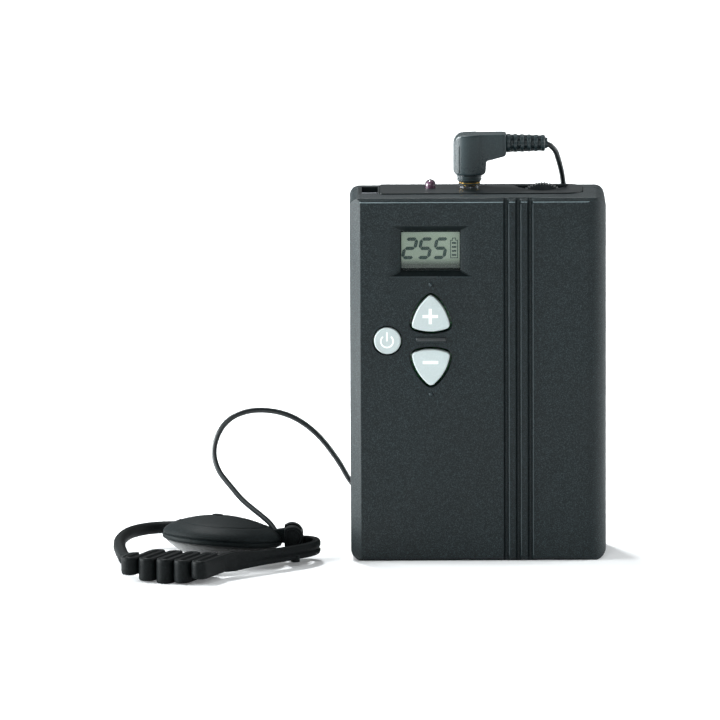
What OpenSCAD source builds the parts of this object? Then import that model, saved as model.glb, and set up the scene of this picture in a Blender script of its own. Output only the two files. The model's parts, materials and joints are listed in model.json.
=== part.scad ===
// Pocket wireless receiver with its plugged-in earphone, in millimetres.
// The origin is the middle of the receiver's base: +X right, -Y front, +Z up.

/* [Case] */
// Width of the case
body_w = 70; // [68:0.5:74]
// Height of the case
body_h = 100.5; // [99:0.5:106]
// Depth of the case, front face to back face
body_d = 26; // [26:0.5:29]
// Depth of the back shell, from the parting line to the back face
back_depth = 7.6; // [7:0.2:9]
// Wall of the front shell, and of the top and sides
wall = 1.8; // [1.6:0.1:2]
// Thickness of the two rubber pads set flush into the base
foot_t = 0.6; // [0.5:0.05:0.7]
// Wall of the back shell behind the cells
back_wall = 2.2; // [2:0.1:2.6]
// Corner radius of the case seen from the front
corner_r = 3; // [2.4:0.2:4]
// Width of the slanted facet down the front left edge
facet = 2.9; // [2:0.1:3.4]
// Radius of the front right edge
edge_r = 5.6; // [4:0.2:6]
// Bevel along the top and bottom front edges
lip = 1; // [0.6:0.1:1.4]
// Radius of the edges round the back
rear_r = 1.5; // [1:0.1:2]
// Running clearance between loose pieces
gap = 0.3; // [0.2:0.05:0.4]

/* [Front face] */
// Middle of the display and key column, across the case
column_x = -12.95; // [-14:0.05:-12]
// Distance of the display's middle from the top
lcd_drop = 14.6; // [13.6:0.1:16]
// Width of the display window
lcd_w = 16.3; // [14:0.1:17]
// Height of the display window
lcd_h = 11.1; // [10:0.1:12]
// Slanted surround beside the window
lcd_side = 2.8; // [2:0.1:3]
// Slanted surround above and below the window
lcd_rim = 1.4; // [1:0.1:1.8]
// Depth of the slanted surround
lcd_sink = 1.2; // [0.9:0.1:1.4]
// Distance of the plus key from the top
plus_drop = 32.5; // [31.5:0.1:33.5]
// Distance of the minus key from the top
minus_drop = 45.8; // [45:0.1:46.5]
// Distance from a key's middle to its corner's centre
key_reach = 4.3; // [4:0.05:4.5]
// Radius of a key's corners
key_corner = 1.8; // [1.5:0.05:2]
// Radius of a key's bowed sides
key_side = 11; // [9:0.5:16]
// Middle of the power key, across the case
power_x = -24.8; // [-25.5:0.1:-24.5]
// Distance of the power key from the top
power_drop = 39.2; // [38.5:0.1:40]
// Radius of the power key
power_r = 3.75; // [3.4:0.05:3.9]
// How far the keys stand out
key_proud = 0.5; // [0.3:0.05:0.7]
// Travel of the keys
key_travel = 0.4; // [0.3:0.05:0.45]
// Middle of the middle groove
groove_x = 10.9; // [10:0.1:12]
// Spacing of the grooves
groove_pitch = 3.28; // [3:0.02:3.4]
// Width of a groove
groove_w = 1.45; // [1.2:0.05:1.7]
// Depth of a groove
groove_deep = 1; // [0.8:0.05:1.2]

/* [Top] */
// Distance of the control panel from the left side
panel_left = 8.4; // [8.4:0.1:10]
// Distance of the control panel from the right side
panel_right = 6.2; // [5.5:0.1:7]
// Front edge of the control panel
panel_y0 = -5.4; // [-6:0.1:-5]
// Back edge of the control panel
panel_y1 = 11.4; // [11:0.1:11.6]
// How far the control panel stands above the case
panel_proud = 0.3; // [0.2:0.05:0.4]
// How far the control panel sinks into the case
panel_sink = 0.9; // [0.8:0.05:1]
// Earphone socket, across the case
jack_x = -2.1; // [-3:0.1:-1]
// Earphone socket, front to back
jack_y = 7; // [6.6:0.1:7.2]
// Radius of the socket's threaded neck
neck_r = 2.7; // [2.6:0.05:2.8]
// Radius of the socket's nut
nut_r = 3.1; // [3.05:0.05:3.3]
// Radius of the earphone plug's pin
pin_r = 1.75; // [1.7:0.01:1.76]
// Lamp, across the case
led_x = -12.8; // [-14:0.1:-12]
// Lamp, front to back
led_y = 5.7; // [5.4:0.1:6]
// Radius of the lamp
led_r = 1.5; // [1.4:0.05:1.6]
// How far the lamp stands above the panel
led_proud = 2.2; // [1.8:0.1:2.5]
// Volume wheel's middle, across the case
wheel_x = 17.9; // [17:0.1:18.5]
// Volume wheel's middle, front to back
wheel_y = 6; // [5.9:0.1:6.4]
// Radius of the volume wheel
wheel_r = 7.5; // [7:0.1:8]
// Thickness of the volume wheel
wheel_t = 3; // [2.6:0.1:3.2]
// How far the wheel stands above the panel
wheel_proud = 1.1; // [0.8:0.1:1.4]
// Number of teeth round the wheel
wheel_teeth = 60; // [48:4:72]
// Distance of the lanyard pocket from the left side
pocket_left = 3.4; // [3.2:0.1:3.5]
// Front wall of the lanyard pocket
pocket_y0 = -4; // [-4.5:0.1:-3]
// Back wall of the lanyard pocket
pocket_y1 = 8.6; // [8:0.1:9]
// Depth of the lanyard pocket
pocket_deep = 4.6; // [4.4:0.1:5]
// Radius of the lanyard bar
bar_r = 0.75; // [0.6:0.05:0.8]
// Lanyard bar, front to back
bar_y = 0.7; // [0.2:0.1:1]

/* [Battery bay] */
// Length of a cell with its nub
cell_len = 50.5; // [49.5:0.1:50.5]
// Gap between the cells and the bay's walls
bay_gap = 0.7; // [0.5:0.05:1]
// Room for a contact spring
spring_len = 4; // [3.5:0.1:5]
// Thickness of the contact plates
plate_t = 0.5; // [0.3:0.05:0.6]
// Wall of the cell tray
tray_wall = 1.2; // [1:0.05:1.3]
// Radius of the door's hinge pins
hinge_pin_r = 0.7; // [0.6:0.02:0.74]
// Length of the door's hinge pins
hinge_pin_len = 1.6; // [1.2:0.1:2]
// Width of the door's latch tongue
latch_w = 9; // [7:0.5:12]
// Height of the door's latch tongue
latch_h = 2.4; // [2:0.1:3]

/* [Boards] */
// Free space between the key board and the cell tray
board_room = 1.7; // [1.5:0.1:2.5]
// Thickness of the circuit boards
board_t = 1.2; // [1:0.1:1.2]
// Height of the key switches' housings
switch_h = 1.5; // [1.4:0.05:1.6]
// Back face of the main board
main_y = 1.6; // [1.5:0.1:1.8]
// Radius of the volume control's housing
pot_r = 4.1; // [3.6:0.1:4.2]
// Radius of the screws' shanks
screw_r = 1; // [0.9:0.05:1.05]
// Radius of the screws' heads
screw_head_r = 1.9; // [1.7:0.05:2]
// Radius of the screw posts in the case
boss_r = 2.5; // [2.4:0.05:2.7]

/* [Earphone] */
// Diameter of the cord
cord_d = 1.5; // [1.4:0.1:1.6]
// Radius of the coil's middle turn
coil_r = 8.5; // [8:0.1:9]
// Turns beside each other in the coil
coil_across = 6; // [5:1:7]
// Turns on top of each other in the coil
coil_up = 2; // [2:1:3]
// Radius of the speaker housing
pod_r = 16.4; // [16:0.1:16.6]
// Height of the middle of the housing's parting line
pod_z = 7.2; // [7:0.1:7.4]
// How far the housing leans back, in degrees
pod_nod = 5; // [3:0.5:6]
// How far the housing leans to the right, in degrees
pod_lean = 4.5; // [3:0.5:6]
// Height of the dome above its parting line
dome_h = 5.6; // [5.4:0.1:6]
// Radius of the crease round the dome
crease_r = 12.1; // [11:0.1:13]
// Height of the crease above the parting line
crease_h = 3.4; // [3.2:0.1:3.6]
// Radius of the hook's round end
hook_r = 1.7; // [1.5:0.05:1.75]
// Thickness of the hook's folded strip
fold_t = 1.9; // [1.7:0.05:2]
// Length of the folds
fold_len = 13.2; // [12:0.1:14]
// Radius of the swivel knob
knob_r = 3.1; // [2.8:0.05:3.1]

/* [Hidden] */
$fn = 48;
tiny = 0.05;       // running clearance of a shaft or pin in its hole
over = 1;          // how far a cutter runs past the face that it cuts
front_y = -body_d / 2;
back_y = body_d / 2;
seam_y = back_y - back_depth;
inner_front = front_y + wall;
inner_back = back_y - back_wall;
panel_z = body_h + panel_proud;
seat_z = body_h - panel_sink;
side_x = body_w / 2;
foot_w = 12;
foot_x = side_x - foot_w;
foot_y = [front_y + 3.5, seam_y - 2.9];
panel_x0 = panel_left - side_x;
panel_x1 = side_x - panel_right;
pocket_x0 = pocket_left - side_x;
lcd_z = body_h - lcd_drop;
plus_z = body_h - plus_drop;
minus_z = body_h - minus_drop;
power_z = body_h - power_drop;

// keys and their switches, front to back
window_t = 1;
module_t = 1.8;
key_board_y = inner_front + window_t + module_t;
flange_t = 0.6;
flange_y = inner_front + 0.1;
plunger_r = 1;
plunger_end = key_board_y - switch_h + 0.9;
key_board_x1 = groove_x - 5.4;
key_board_x0 = wall + 1.7 - side_x;
key_board_z0 = minus_z - 11.7;
key_board_z1 = body_h - 5.5;
key_board_step = lcd_z - lcd_h / 2 - 0.4;
key_board_step_x = key_board_x0 + 5.3;

// battery bay
// The cells fill the depth that the shells, the display and the key board leave: 14.5 mm across in this case
tray_front = key_board_y + board_t + board_room;
cell_r = (inner_back - tray_front - tray_wall - 2 * gap) / 2;
cell_x = cell_r + 0.6;
bay_half = cell_x + cell_r + bay_gap;
spring_wire = 0.5;
plate_half = cell_r * 0.55;
cell_y = inner_back - gap - cell_r;
bay_z0 = 3.2;
hinge_edge_r = back_wall / 2;
hinge_y = back_y - hinge_edge_r;
hinge_z = bay_z0 + gap + hinge_edge_r;
bay_h = cell_len + spring_len + 2 * plate_t + 0.3;
bay_z1 = bay_z0 + bay_h;
door_half = bay_half - gap;
door_z1 = bay_z1 - gap;

// screws
case_screw_x = side_x - boss_r - 2.7;
case_screw_z = [boss_r + 3.1, body_h - 12.5];
case_screw_depth = 14;
post_r = 1.9;
head_t = 1.2;
key_post_x = [key_board_x0 + 2.5, key_board_x1 - 2.3];
key_post_z = [key_board_z0 + 3, key_board_step - 4];
key_post = [for (x = key_post_x, z = key_post_z) [x, z]];

// main board
main_half = side_x - 8.4;
main_z0 = bay_z1 + tray_wall + 0.6;
main_z1 = body_h - 7.5;
main_post_x = main_half - 2.6;
main_post_z = [main_z0 + 5.2, main_z1 - 9];
main_post = [for (x = [-main_post_x, main_post_x], z = main_post_z) [x, z]];
tab_half = 7;
shield_x = [-20.5, -7.5];
shield_z = [main_post_z[0], main_z1 - 11];
shield_wall = 0.3;
loop_r = 3.6;
loop_wire = 0.5;
loop_x = 12;
loop_z = (shield_z[0] + shield_z[1]) / 2;
wheel_z = panel_z + wheel_proud - wheel_r;

// lanyard pocket
pocket_x1 = panel_x0 - 0.6;
cup_wall = 0.7;
cup_side = 0.5;
bar_z = body_h - bar_r - 0.35;

// socket and plug, going up
nut_t = 0.45;
jack_half = 4;
jack_top = body_h - wall - 0.2;
jack_z0 = body_h - 14.5;
plug_z0 = panel_z + nut_t + 0.1;
collar_z0 = plug_z0 + 1;
collar_r = 3.4;
ring_r = 3;
plug_z1 = collar_z0 + 1.9;
plug_top = plug_z1 + 11.3;
plug_r = 4.47;
arm_z = plug_z1 + 8.45;
arm_r = 2.7;
arm_x1 = jack_x + 10.15;
relief_r = 2.6;
relief_len = 11.3;
relief_ribs = 6;
relief_x1 = arm_x1 + relief_len;
plug_pin_len = 14;

// cord: routes chosen by hand, from the plug to the coil and from the coil to the earphone
drop_route = [[16.8, 7, 112.75], [18, 7, 112.7], [19.1, 7, 112.45], [20.1, 7.1, 111.95], [21, 7.4, 111.1],
    [21.75, 8, 109.8], [22.4, 9, 107.7], [23.1, 10.7, 104.9], [23.6, 12.7, 102.1], [23.9, 14.2, 99.2],
    [24, 15.3, 95.4], [24, 16, 90.6], [23.8, 16.5, 84], [23.6, 16.8, 75], [23.4, 17, 66], [23.2, 17.2, 56],
    [23, 17.4, 46], [22.8, 17.6, 36], [22.6, 17.9, 26], [22.4, 18.5, 17], [22, 19.8, 9.2],
    [21.2, 22.6, 3.8], [19.9, 26.4, 1.5], [18, 30.2, 1.25], [17.3, 33.4, 1.25]];
arch_route = [[5.6, 46.3, 2.76], [2.8, 46.45, 2.8], [-3.6, 45.8, 3], [-11, 42.6, 3.5], [-17.8, 36.7, 4.3],
    [-23.8, 29.8, 6.2], [-29.6, 23.6, 10.3], [-34.9, 18.5, 16.4], [-38.4, 15.5, 22.8], [-43.2, 12, 29.9],
    [-48.6, 9, 35.1], [-54.4, 6.5, 38.1], [-60.8, 4, 39.2], [-66.1, 1.5, 38.4], [-69.8, 0, 35.8],
    [-72, -1.5, 31.7], [-72.4, -2.8, 27.6], [-71, -4.2, 23.6], [-68.1, -5.6, 20], [-64.7, -7, 16.2],
    [-61, -8.5, 13.3], [-58.4, -9.5, 11.3], [-56.9, -10.1, 9.9], [-55.9, -10.6, 8.5]];
coil_at = [5, 34];
coil_z0 = 0.4;
coil_half = coil_across * cord_d / 2 + 0.1;
coil_h = coil_up * cord_d + 0.2;

// speaker and hook
pod_at = [-70.2, -12];
bezel_h = 1.6;
driver_r = pod_r - 2.4;
driver_deep = 1.8;
pad_deep = 5;
cap_at = [-1.6, 0.6];
cap_r = 1.5;
cap_seat = 0.3;
knob_at = [-51.1, -12];
knob_z = pod_z;
knob_half = 4;
knob_flat = 1.4;
axle_r = 1.2;
lug_half = 1.1;
lug_r = 2.2;
fold_d = [0.453, 0.891];
fold_n = [0.891, -0.453];
fold_pitch = [4.78, -1.6];
fold_at = [-95.5, -40];
fold_h = fold_t / 2 + 0.3;
fold_top = 6.76;
folds = 5;
strip_a = 1.1;
strip_b = 2;
// middle line of the hook's plain strip, from its knob to the folds: x, y, z
strip_route = [[-49.6, -8.7, 4.4], [-47, -7.7, 4.3], [-44.8, -9.4, 4.2], [-44.5, -13, 4.2], [-46.4, -17, 4.2],
    [-50.2, -20.8, 4.15], [-55.2, -24.8, 4.1], [-61, -29.2, 4.1], [-66.5, -33.2, 4.1]];
// middle line of the hook's round end
loop_route = [[-96.5, -29.5, 4.2], [-97.7, -20, 4.3], [-98.4, -12, 4.5], [-98.1, -4, 4.8],
    [-95.8, 4, 5.1], [-91, 9, 5.3], [-84.5, 10.4, 5.4], [-77, 10, 5.4], [-71, 9.4, 5.4], [-66, 9, 5.4]];

// ---- functions ----

// Points of a round cornered triangle with bowed sides, one corner pointing to the angle up
function bowed_triangle(reach, corner, side, up) =
    let (half = asin(reach * sin(60) / side), back = side * cos(half) - reach / 2)
    [for (i = [0:2])
        let (w = up + 60 + 120 * i)
        each concat(
            [for (k = [-3:3]) let (a = w + half * k / 3)
                [-back * cos(w) + (side + corner) * cos(a), -back * sin(w) + (side + corner) * sin(a)]],
            [for (k = [1:5]) let (a = w + half + (120 - 2 * half) * k / 6)
                [reach * cos(w + 60) + corner * cos(a), reach * sin(w + 60) + corner * sin(a)]])];

function unit(v) = v / norm(v);

// A point of a smooth curve through p[1] and p[2]
function curve_at(p, t) =
    0.5 * (2 * p[1] + (p[2] - p[0]) * t + (2 * p[0] - 5 * p[1] + 4 * p[2] - p[3]) * t * t
        + (3 * p[1] - p[0] - 3 * p[2] + p[3]) * t * t * t);

// The curve through all points, with steps parts between neighbours
function smooth(p, steps) =
    let (last = len(p) - 1)
    concat([for (i = [0:last - 1])
        let (q = [p[max(i - 1, 0)], p[i], p[i + 1], p[min(i + 2, last)]])
        for (k = [0:steps - 1]) curve_at(q, k / steps)], [p[last]]);

// Direction of a path at point i
function heading(p, i) = unit(p[min(i + 1, len(p) - 1)] - p[max(i - 1, 0)]);

// Outline of a strip's section: half thickness a, half height b
function strip_section(a, b, sides) =
    [for (k = [0:sides - 1])
        let (w = 360 * (k + 0.5) / sides, e = 0.4 + 0.6 * min(a / b, 1))
        [a * sign(cos(w)) * pow(abs(cos(w)), e), b * sign(sin(w)) * pow(abs(sin(w)), e)]];

function fold_bottom(k) = 0.45 * pow(k - (folds - 1) / 2, 2);

// One ring of the folded strip: place in plan, and the number of its fold
function fold_ring(at, k) =
    let (low = fold_bottom(k)) [at[0], at[1], (fold_top + low) / 2, fold_t / 2, (fold_top - low) / 2];

// The folds from right to left: down a wall, round the front, up the next wall, round the back
function folded_strip() =
    [for (i = [0:folds - 1])
        let (k = folds - 1 - i,
            c = fold_at + k * fold_pitch,
            right_back = c + (fold_len - fold_h) * fold_d + fold_h * fold_n,
            left_back = c + (fold_len - fold_h) * fold_d - fold_h * fold_n,
            next_back = right_back - fold_pitch)
        each concat(
            [fold_ring(right_back, k)],
            [for (w = [0:36:180]) fold_ring(c + fold_h * fold_d
                + fold_h * (cos(w) * fold_n - sin(w) * fold_d), k)],
            k == 0 ? [] : [for (w = [0:36:144]) fold_ring((left_back + next_back) / 2
                + cos(w) * (left_back - next_back) / 2 + fold_h * sin(w) * fold_d, k - w / 360)])];

// Each ring of the hook: x, y, z, half thickness, half height
function hook_rings() = concat(
    [for (p = smooth(strip_route, 3)) [p[0], p[1], p[2], strip_a, strip_b]],
    folded_strip(),
    [for (p = smooth(loop_route, 2)) [p[0], p[1], p[2], hook_r, hook_r]]);

// ---- shared shapes ----

// A solid skin over rings of points, closed at both ends
module skin(rings) {
    sides = len(rings[0]);
    count = len(rings);
    polyhedron(
        points = [for (r = rings) each r],
        faces = concat(
            [[for (k = [0:sides - 1]) k]],
            [for (i = [0:count - 2], k = [0:sides - 1])
                let (a = i * sides + k, b = i * sides + (k + 1) % sides)
                [b, a, a + sides, b + sides]],
            [[for (k = [0:sides - 1]) count * sides - 1 - k]]));
}

// A round tube along a path; aside is any direction that the path never takes
module tube(path, r, sides, aside) {
    skin([for (i = [0:len(path) - 1])
        let (t = heading(path, i), u = unit(cross(t, aside)), v = cross(t, u))
        [for (k = [0:sides - 1]) path[i] + r * (cos(360 * k / sides) * u + sin(360 * k / sides) * v)]]);
}

// A rectangle in the XY plane with round corners, exact
module round_rect(x0, y0, x1, y1, r) {
    translate([x0 + r, y0]) square([x1 - x0 - 2 * r, y1 - y0]);
    translate([x0, y0 + r]) square([x1 - x0, y1 - y0 - 2 * r]);
    for (x = [x0 + r, x1 - r], y = [y0 + r, y1 - r]) translate([x, y]) circle(r);
}

// Turns a shape drawn in X and Z into a solid from y0 to y1
module along_y(y0, y1) {
    translate([0, y1, 0]) rotate([90, 0, 0]) linear_extrude(y1 - y0) children();
}

// Turns a shape drawn in Y and Z into a solid from x0 to x1
module along_x(x0, x1) {
    translate([x0, 0, 0]) rotate([90, 0, 90]) linear_extrude(x1 - x0) children();
}

module cyl_y(x, z, y0, y1, r) {
    translate([x, y1, z]) rotate([90, 0, 0]) cylinder(h = y1 - y0, r = r);
}

module cyl_x(x0, x1, y, z, r) {
    translate([x0, y, z]) rotate([0, 90, 0]) cylinder(h = x1 - x0, r = r);
}

module box(a, b) {
    translate(a) cube(b - a);
}

// The case's whole form, shrunk by inset at front, top and sides and by inset_back behind
module case_form(inset, inset_back) {
    x1 = body_w / 2 - inset;
    y0 = front_y + inset;
    y1 = back_y - inset_back;
    z0 = inset;
    z1 = body_h - inset;
    cut = facet - 0.4 * inset;
    round_front = edge_r - inset;
    round_back = max(rear_r - inset_back, 0.2);
    bevel = max(lip - 0.6 * inset, 0.1);
    corner = max(corner_r - inset, 0.5);
    intersection() {
        along_y(y0, y1) round_rect(-x1, z0, x1, z1, corner);
        translate([0, 0, z0 - over]) linear_extrude(z1 - z0 + 2 * over) union() {
            polygon([[-x1 + cut, y0], [x1 - round_front, y0], [x1 - round_front, y0 + round_front],
                [x1, y0 + round_front], [x1, y1 - round_back], [x1 - round_back, y1],
                [-x1 + round_back, y1], [-x1, y1 - round_back], [-x1, y0 + cut]]);
            translate([x1 - round_front, y0 + round_front]) circle(round_front);
            for (s = [-1, 1]) translate([s * (x1 - round_back), y1 - round_back]) circle(round_back);
        }
        along_x(-x1 - over, x1 + over) union() {
            polygon([[y0 + bevel, z0], [y1 - round_back, z0], [y1, z0 + round_back],
                [y1, z1 - round_back], [y1 - round_back, z1], [y0 + bevel, z1], [y0, z1 - bevel],
                [y0, z0 + bevel]]);
            for (z = [z0 + round_back, z1 - round_back]) translate([y1 - round_back, z]) circle(round_back);
        }
    }
}

module key_outline(reach, corner, up) {
    polygon(bowed_triangle(reach, corner, key_side, up));
}

// The control panel's outline seen from above, grown by more
module panel_outline(more) {
    round_rect(panel_x0 - more, panel_y0 - more, panel_x1 - 8, panel_y1 + more, 0.6 + more);
    translate([panel_x1 - 12, 0]) round_rect(0, panel_y0 - more, 12 + more, panel_y1 + more, 5 + more);
}

// Everything that passes down through the top of the case
module top_cuts() {
    translate([0, 0, seat_z]) linear_extrude(panel_sink + over) panel_outline(0.1);
    translate([jack_x, jack_y, jack_z0]) cylinder(h = body_h, r = neck_r + gap);
    translate([led_x, led_y, jack_z0]) cylinder(h = body_h, r = led_r + gap);
    box([wheel_x - wheel_r * 0.88, wheel_y - wheel_t / 2 - gap, body_h - wall - over],
        [wheel_x + wheel_r * 0.88, wheel_y + wheel_t / 2 + gap, body_h + over]);
    box([pocket_x0 - cup_wall, pocket_y0 - cup_wall, body_h - pocket_deep - cup_wall],
        [pocket_x1 + cup_side, pocket_y1 + cup_wall, body_h + over]);
}

// ---- case ----

module front_shell() {
    color([0.16, 0.18, 0.19]) difference() {
        union() {
            difference() {
                case_form(0, 0);
                case_form(wall, back_wall);
                box([-body_w, seam_y, -over], [body_w, body_d, body_h + over]);
            }
            intersection() {
                case_form(wall / 2, back_wall);
                for (x = [-case_screw_x, case_screw_x], z = case_screw_z)
                    cyl_y(x, z, inner_front - wall / 2, seam_y, boss_r);
            }
            for (p = key_post) cyl_y(p[0], p[1], inner_front - wall / 2, key_board_y, post_r);
            // ribs that stiffen the front behind the grooves
            for (z = [body_h * 0.24, body_h * 0.38]) box([column_x, inner_front - wall / 2, z],
                [groove_x + 2 * groove_pitch, inner_front + 2, z + wall / 2]);
            // raised bar and dots of the key column
            box([column_x - 4.2, front_y - 0.3, (plus_z + minus_z) / 2 - 0.8],
                [column_x + 4.2, front_y + wall / 2, (plus_z + minus_z) / 2 + 0.75]);
            for (z = [plus_z + 8.6, minus_z - 8.4])
                cyl_y(column_x, z, front_y - 0.25, front_y + wall / 2, 0.55);
        }
        for (x = [-case_screw_x, case_screw_x], z = case_screw_z)
            cyl_y(x, z, seam_y - case_screw_depth, seam_y + over, screw_r + tiny);
        for (p = key_post) cyl_y(p[0], p[1], inner_front, key_board_y + over, screw_r + tiny);
        for (s = [-1, 1]) box([s * foot_x - foot_w / 2 - tiny, foot_y[0] - tiny, -over],
            [s * foot_x + foot_w / 2 + tiny, foot_y[1] + tiny, foot_t]);
        for (i = [-1:1]) translate([groove_x + i * groove_pitch, front_y + groove_deep - groove_w / 2, -over])
            cylinder(h = body_h + 2 * over, r = groove_w / 2);
        along_y(front_y - over, key_board_y)
            translate([column_x, plus_z]) key_outline(key_reach, key_corner + gap, 90);
        along_y(front_y - over, key_board_y)
            translate([column_x, minus_z]) key_outline(key_reach, key_corner + gap, 270);
        cyl_y(power_x, power_z, front_y - over, key_board_y, power_r + gap);
        box([column_x - lcd_w / 2, front_y - over, lcd_z - lcd_h / 2],
            [column_x + lcd_w / 2, inner_front + over, lcd_z + lcd_h / 2]);
        hull() {
            box([column_x - lcd_w / 2 - lcd_side, front_y - tiny, lcd_z - lcd_h / 2 - lcd_rim],
                [column_x + lcd_w / 2 + lcd_side, front_y, lcd_z + lcd_h / 2 + lcd_rim]);
            box([column_x - lcd_w / 2, front_y + lcd_sink, lcd_z - lcd_h / 2],
                [column_x + lcd_w / 2, front_y + lcd_sink + tiny, lcd_z + lcd_h / 2]);
        }
        top_cuts();
    }
}

module back_shell() {
    color([0.15, 0.17, 0.18]) difference() {
        union() {
            difference() {
                case_form(0, 0);
                case_form(wall, back_wall);
                box([-body_w, -body_d, -over], [body_w, seam_y, body_h + over]);
                // shadow line where the shells meet
                difference() {
                    box([-body_w, seam_y - over, -over], [body_w, seam_y + 0.35, body_h + over]);
                    case_form(0.35, back_wall);
                }
            }
            intersection() {
                case_form(wall / 2, back_wall / 2);
                for (x = [-case_screw_x, case_screw_x], z = case_screw_z)
                    cyl_y(x, z, seam_y, inner_back + back_wall / 2, boss_r + 0.3);
            }
            for (p = main_post) cyl_y(p[0], p[1], main_y, inner_back + back_wall / 2, post_r);
        }
        for (x = [-case_screw_x, case_screw_x], z = case_screw_z) {
            cyl_y(x, z, seam_y - over, back_y + over, screw_r + tiny);
            cyl_y(x, z, back_y - 2.4, back_y + over, screw_head_r + 0.2);
        }
        for (p = main_post) cyl_y(p[0], p[1], main_y - over, main_y + 5.4, screw_r + tiny);
        // battery bay opening, its latch notch and its finger scoop
        box([-bay_half, inner_back - over, bay_z0], [bay_half, back_y + over, bay_z1]);
        box([-latch_w / 2 - gap, inner_back - over, bay_z1 - over],
            [latch_w / 2 + gap, back_y + over, bay_z1 + latch_h]);
        translate([0, back_y + 11, bay_z1 + latch_h]) sphere(r = 12.2, $fn = 72);
        cyl_x(-bay_half - hinge_pin_len - 0.2, bay_half + hinge_pin_len + 0.2, hinge_y, hinge_z,
            hinge_pin_r + tiny);
        top_cuts();
    }
}

module top_panel() {
    color([0.2, 0.22, 0.23]) difference() {
        translate([0, 0, seat_z]) linear_extrude(panel_z - seat_z) panel_outline(0);
        translate([jack_x, jack_y, seat_z - over]) cylinder(h = 4, r = neck_r + 0.1);
        translate([led_x, led_y, seat_z - over]) cylinder(h = 4, r = led_r + 0.1);
        box([wheel_x - wheel_r * 0.88, wheel_y - wheel_t / 2 - gap, seat_z - over],
            [wheel_x + wheel_r * 0.88, wheel_y + wheel_t / 2 + gap, panel_z + over]);
        // boat shaped scoop for the fingertip, deeper towards the back
        intersection() {
            translate([wheel_x - 0.3, wheel_y - wheel_t, panel_z + 19.6]) rotate([-99, 0, 0])
                cylinder(h = 30, r = 20, center = true, $fn = 96);
            box([wheel_x - 12, panel_y0 + 2, seat_z + 0.3],
                [wheel_x + 12, wheel_y + wheel_t / 2 + 0.9, panel_z + over]);
        }
    }
}

module lcd_window() {
    color([0.7, 0.75, 0.72, 0.5])
        box([column_x - lcd_w / 2 - 1.2, inner_front, lcd_z - lcd_h / 2 - 0.8],
            [column_x + lcd_w / 2 + 1.2, inner_front + window_t, lcd_z + lcd_h / 2 + 0.8]);
}

module lcd_module() {
    color([0.56, 0.6, 0.54])
        box([column_x - lcd_w / 2 - 2, inner_front + window_t, lcd_z - lcd_h / 2 - 1.6],
            [column_x + lcd_w / 2 + 2, key_board_y, lcd_z + lcd_h / 2 + 1.2]);
}

// ---- keys ----

// A cap with a flange behind the case wall; the outline is given as a child
module key_cap() {
    color([0.78, 0.81, 0.81]) {
        along_y(front_y - key_proud, flange_y + flange_t) children(0);
        along_y(flange_y, flange_y + flange_t) children(1);
    }
}

module power_key() {
    key_cap() {
        translate([power_x, power_z]) circle(power_r);
        translate([power_x, power_z]) circle(power_r + 0.9);
    }
}

module plus_key() {
    key_cap() {
        translate([column_x, plus_z]) key_outline(key_reach, key_corner, 90);
        translate([column_x, plus_z]) circle(key_reach + 1.6);
    }
}

module minus_key() {
    key_cap() {
        translate([column_x, minus_z]) key_outline(key_reach, key_corner, 270);
        translate([column_x, minus_z]) circle(key_reach + 1.6);
    }
}

module plunger(x, z) {
    color([0.1, 0.1, 0.1]) cyl_y(x, z, flange_y + flange_t, plunger_end - key_travel, plunger_r);
}

module key_switches() {
    color([0.75, 0.75, 0.72]) for (p = [[power_x, power_z], [column_x, plus_z], [column_x, minus_z]])
        difference() {
            box([p[0] - 2.25, key_board_y - switch_h, p[1] - 2.25], [p[0] + 2.25, key_board_y, p[1] + 2.25]);
            cyl_y(p[0], p[1], key_board_y - switch_h - over, plunger_end + 0.1, plunger_r + tiny);
        }
}

module key_board() {
    color([0.1, 0.35, 0.2]) difference() {
        union() {
            box([key_board_x0, key_board_y, key_board_z0],
                [key_board_x1, key_board_y + board_t, key_board_step]);
            box([key_board_step_x, key_board_y, key_board_step],
                [key_board_x1, key_board_y + board_t, key_board_z1]);
        }
        for (p = key_post)
            cyl_y(p[0], p[1], key_board_y - over, key_board_y + board_t + over, screw_r + tiny);
    }
}

module key_board_screws() {
    color([0.7, 0.7, 0.72]) for (p = key_post) {
        cyl_y(p[0], p[1], inner_front + 0.2, key_board_y + board_t, screw_r);
        cyl_y(p[0], p[1], key_board_y + board_t, key_board_y + board_t + head_t, screw_head_r);
    }
}

// ---- boards and what is on them ----

module main_board() {
    color([0.1, 0.38, 0.22]) difference() {
        union() {
            box([-main_half, main_y - board_t, main_z0], [main_half, main_y, main_z1]);
            box([wheel_x - tab_half, main_y - board_t, main_z1 - over],
                [wheel_x + tab_half, main_y, body_h - wall - gap]);
        }
        for (p = main_post) cyl_y(p[0], p[1], main_y - board_t - over, main_y + over, screw_r + tiny);
    }
}

module board_screws() {
    color([0.7, 0.7, 0.72]) for (p = main_post) {
        cyl_y(p[0], p[1], main_y - board_t, main_y + 5.2, screw_r);
        cyl_y(p[0], p[1], main_y - board_t - head_t, main_y - board_t, screw_head_r);
    }
}

module rf_shield() {
    color([0.8, 0.8, 0.78]) difference() {
        box([shield_x[0], main_y, shield_z[0]], [shield_x[1], main_y + 3, shield_z[1]]);
        box([shield_x[0] + shield_wall, main_y - over, shield_z[0] + shield_wall],
            [shield_x[1] - shield_wall, main_y + 3 - shield_wall, shield_z[1] - shield_wall]);
    }
}

module board_header() {
    color([0.12, 0.12, 0.12]) box([-4, key_board_y + board_t, main_z0 + 3.2],
        [4, main_y - board_t, main_z0 + 6.2]);
}

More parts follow.
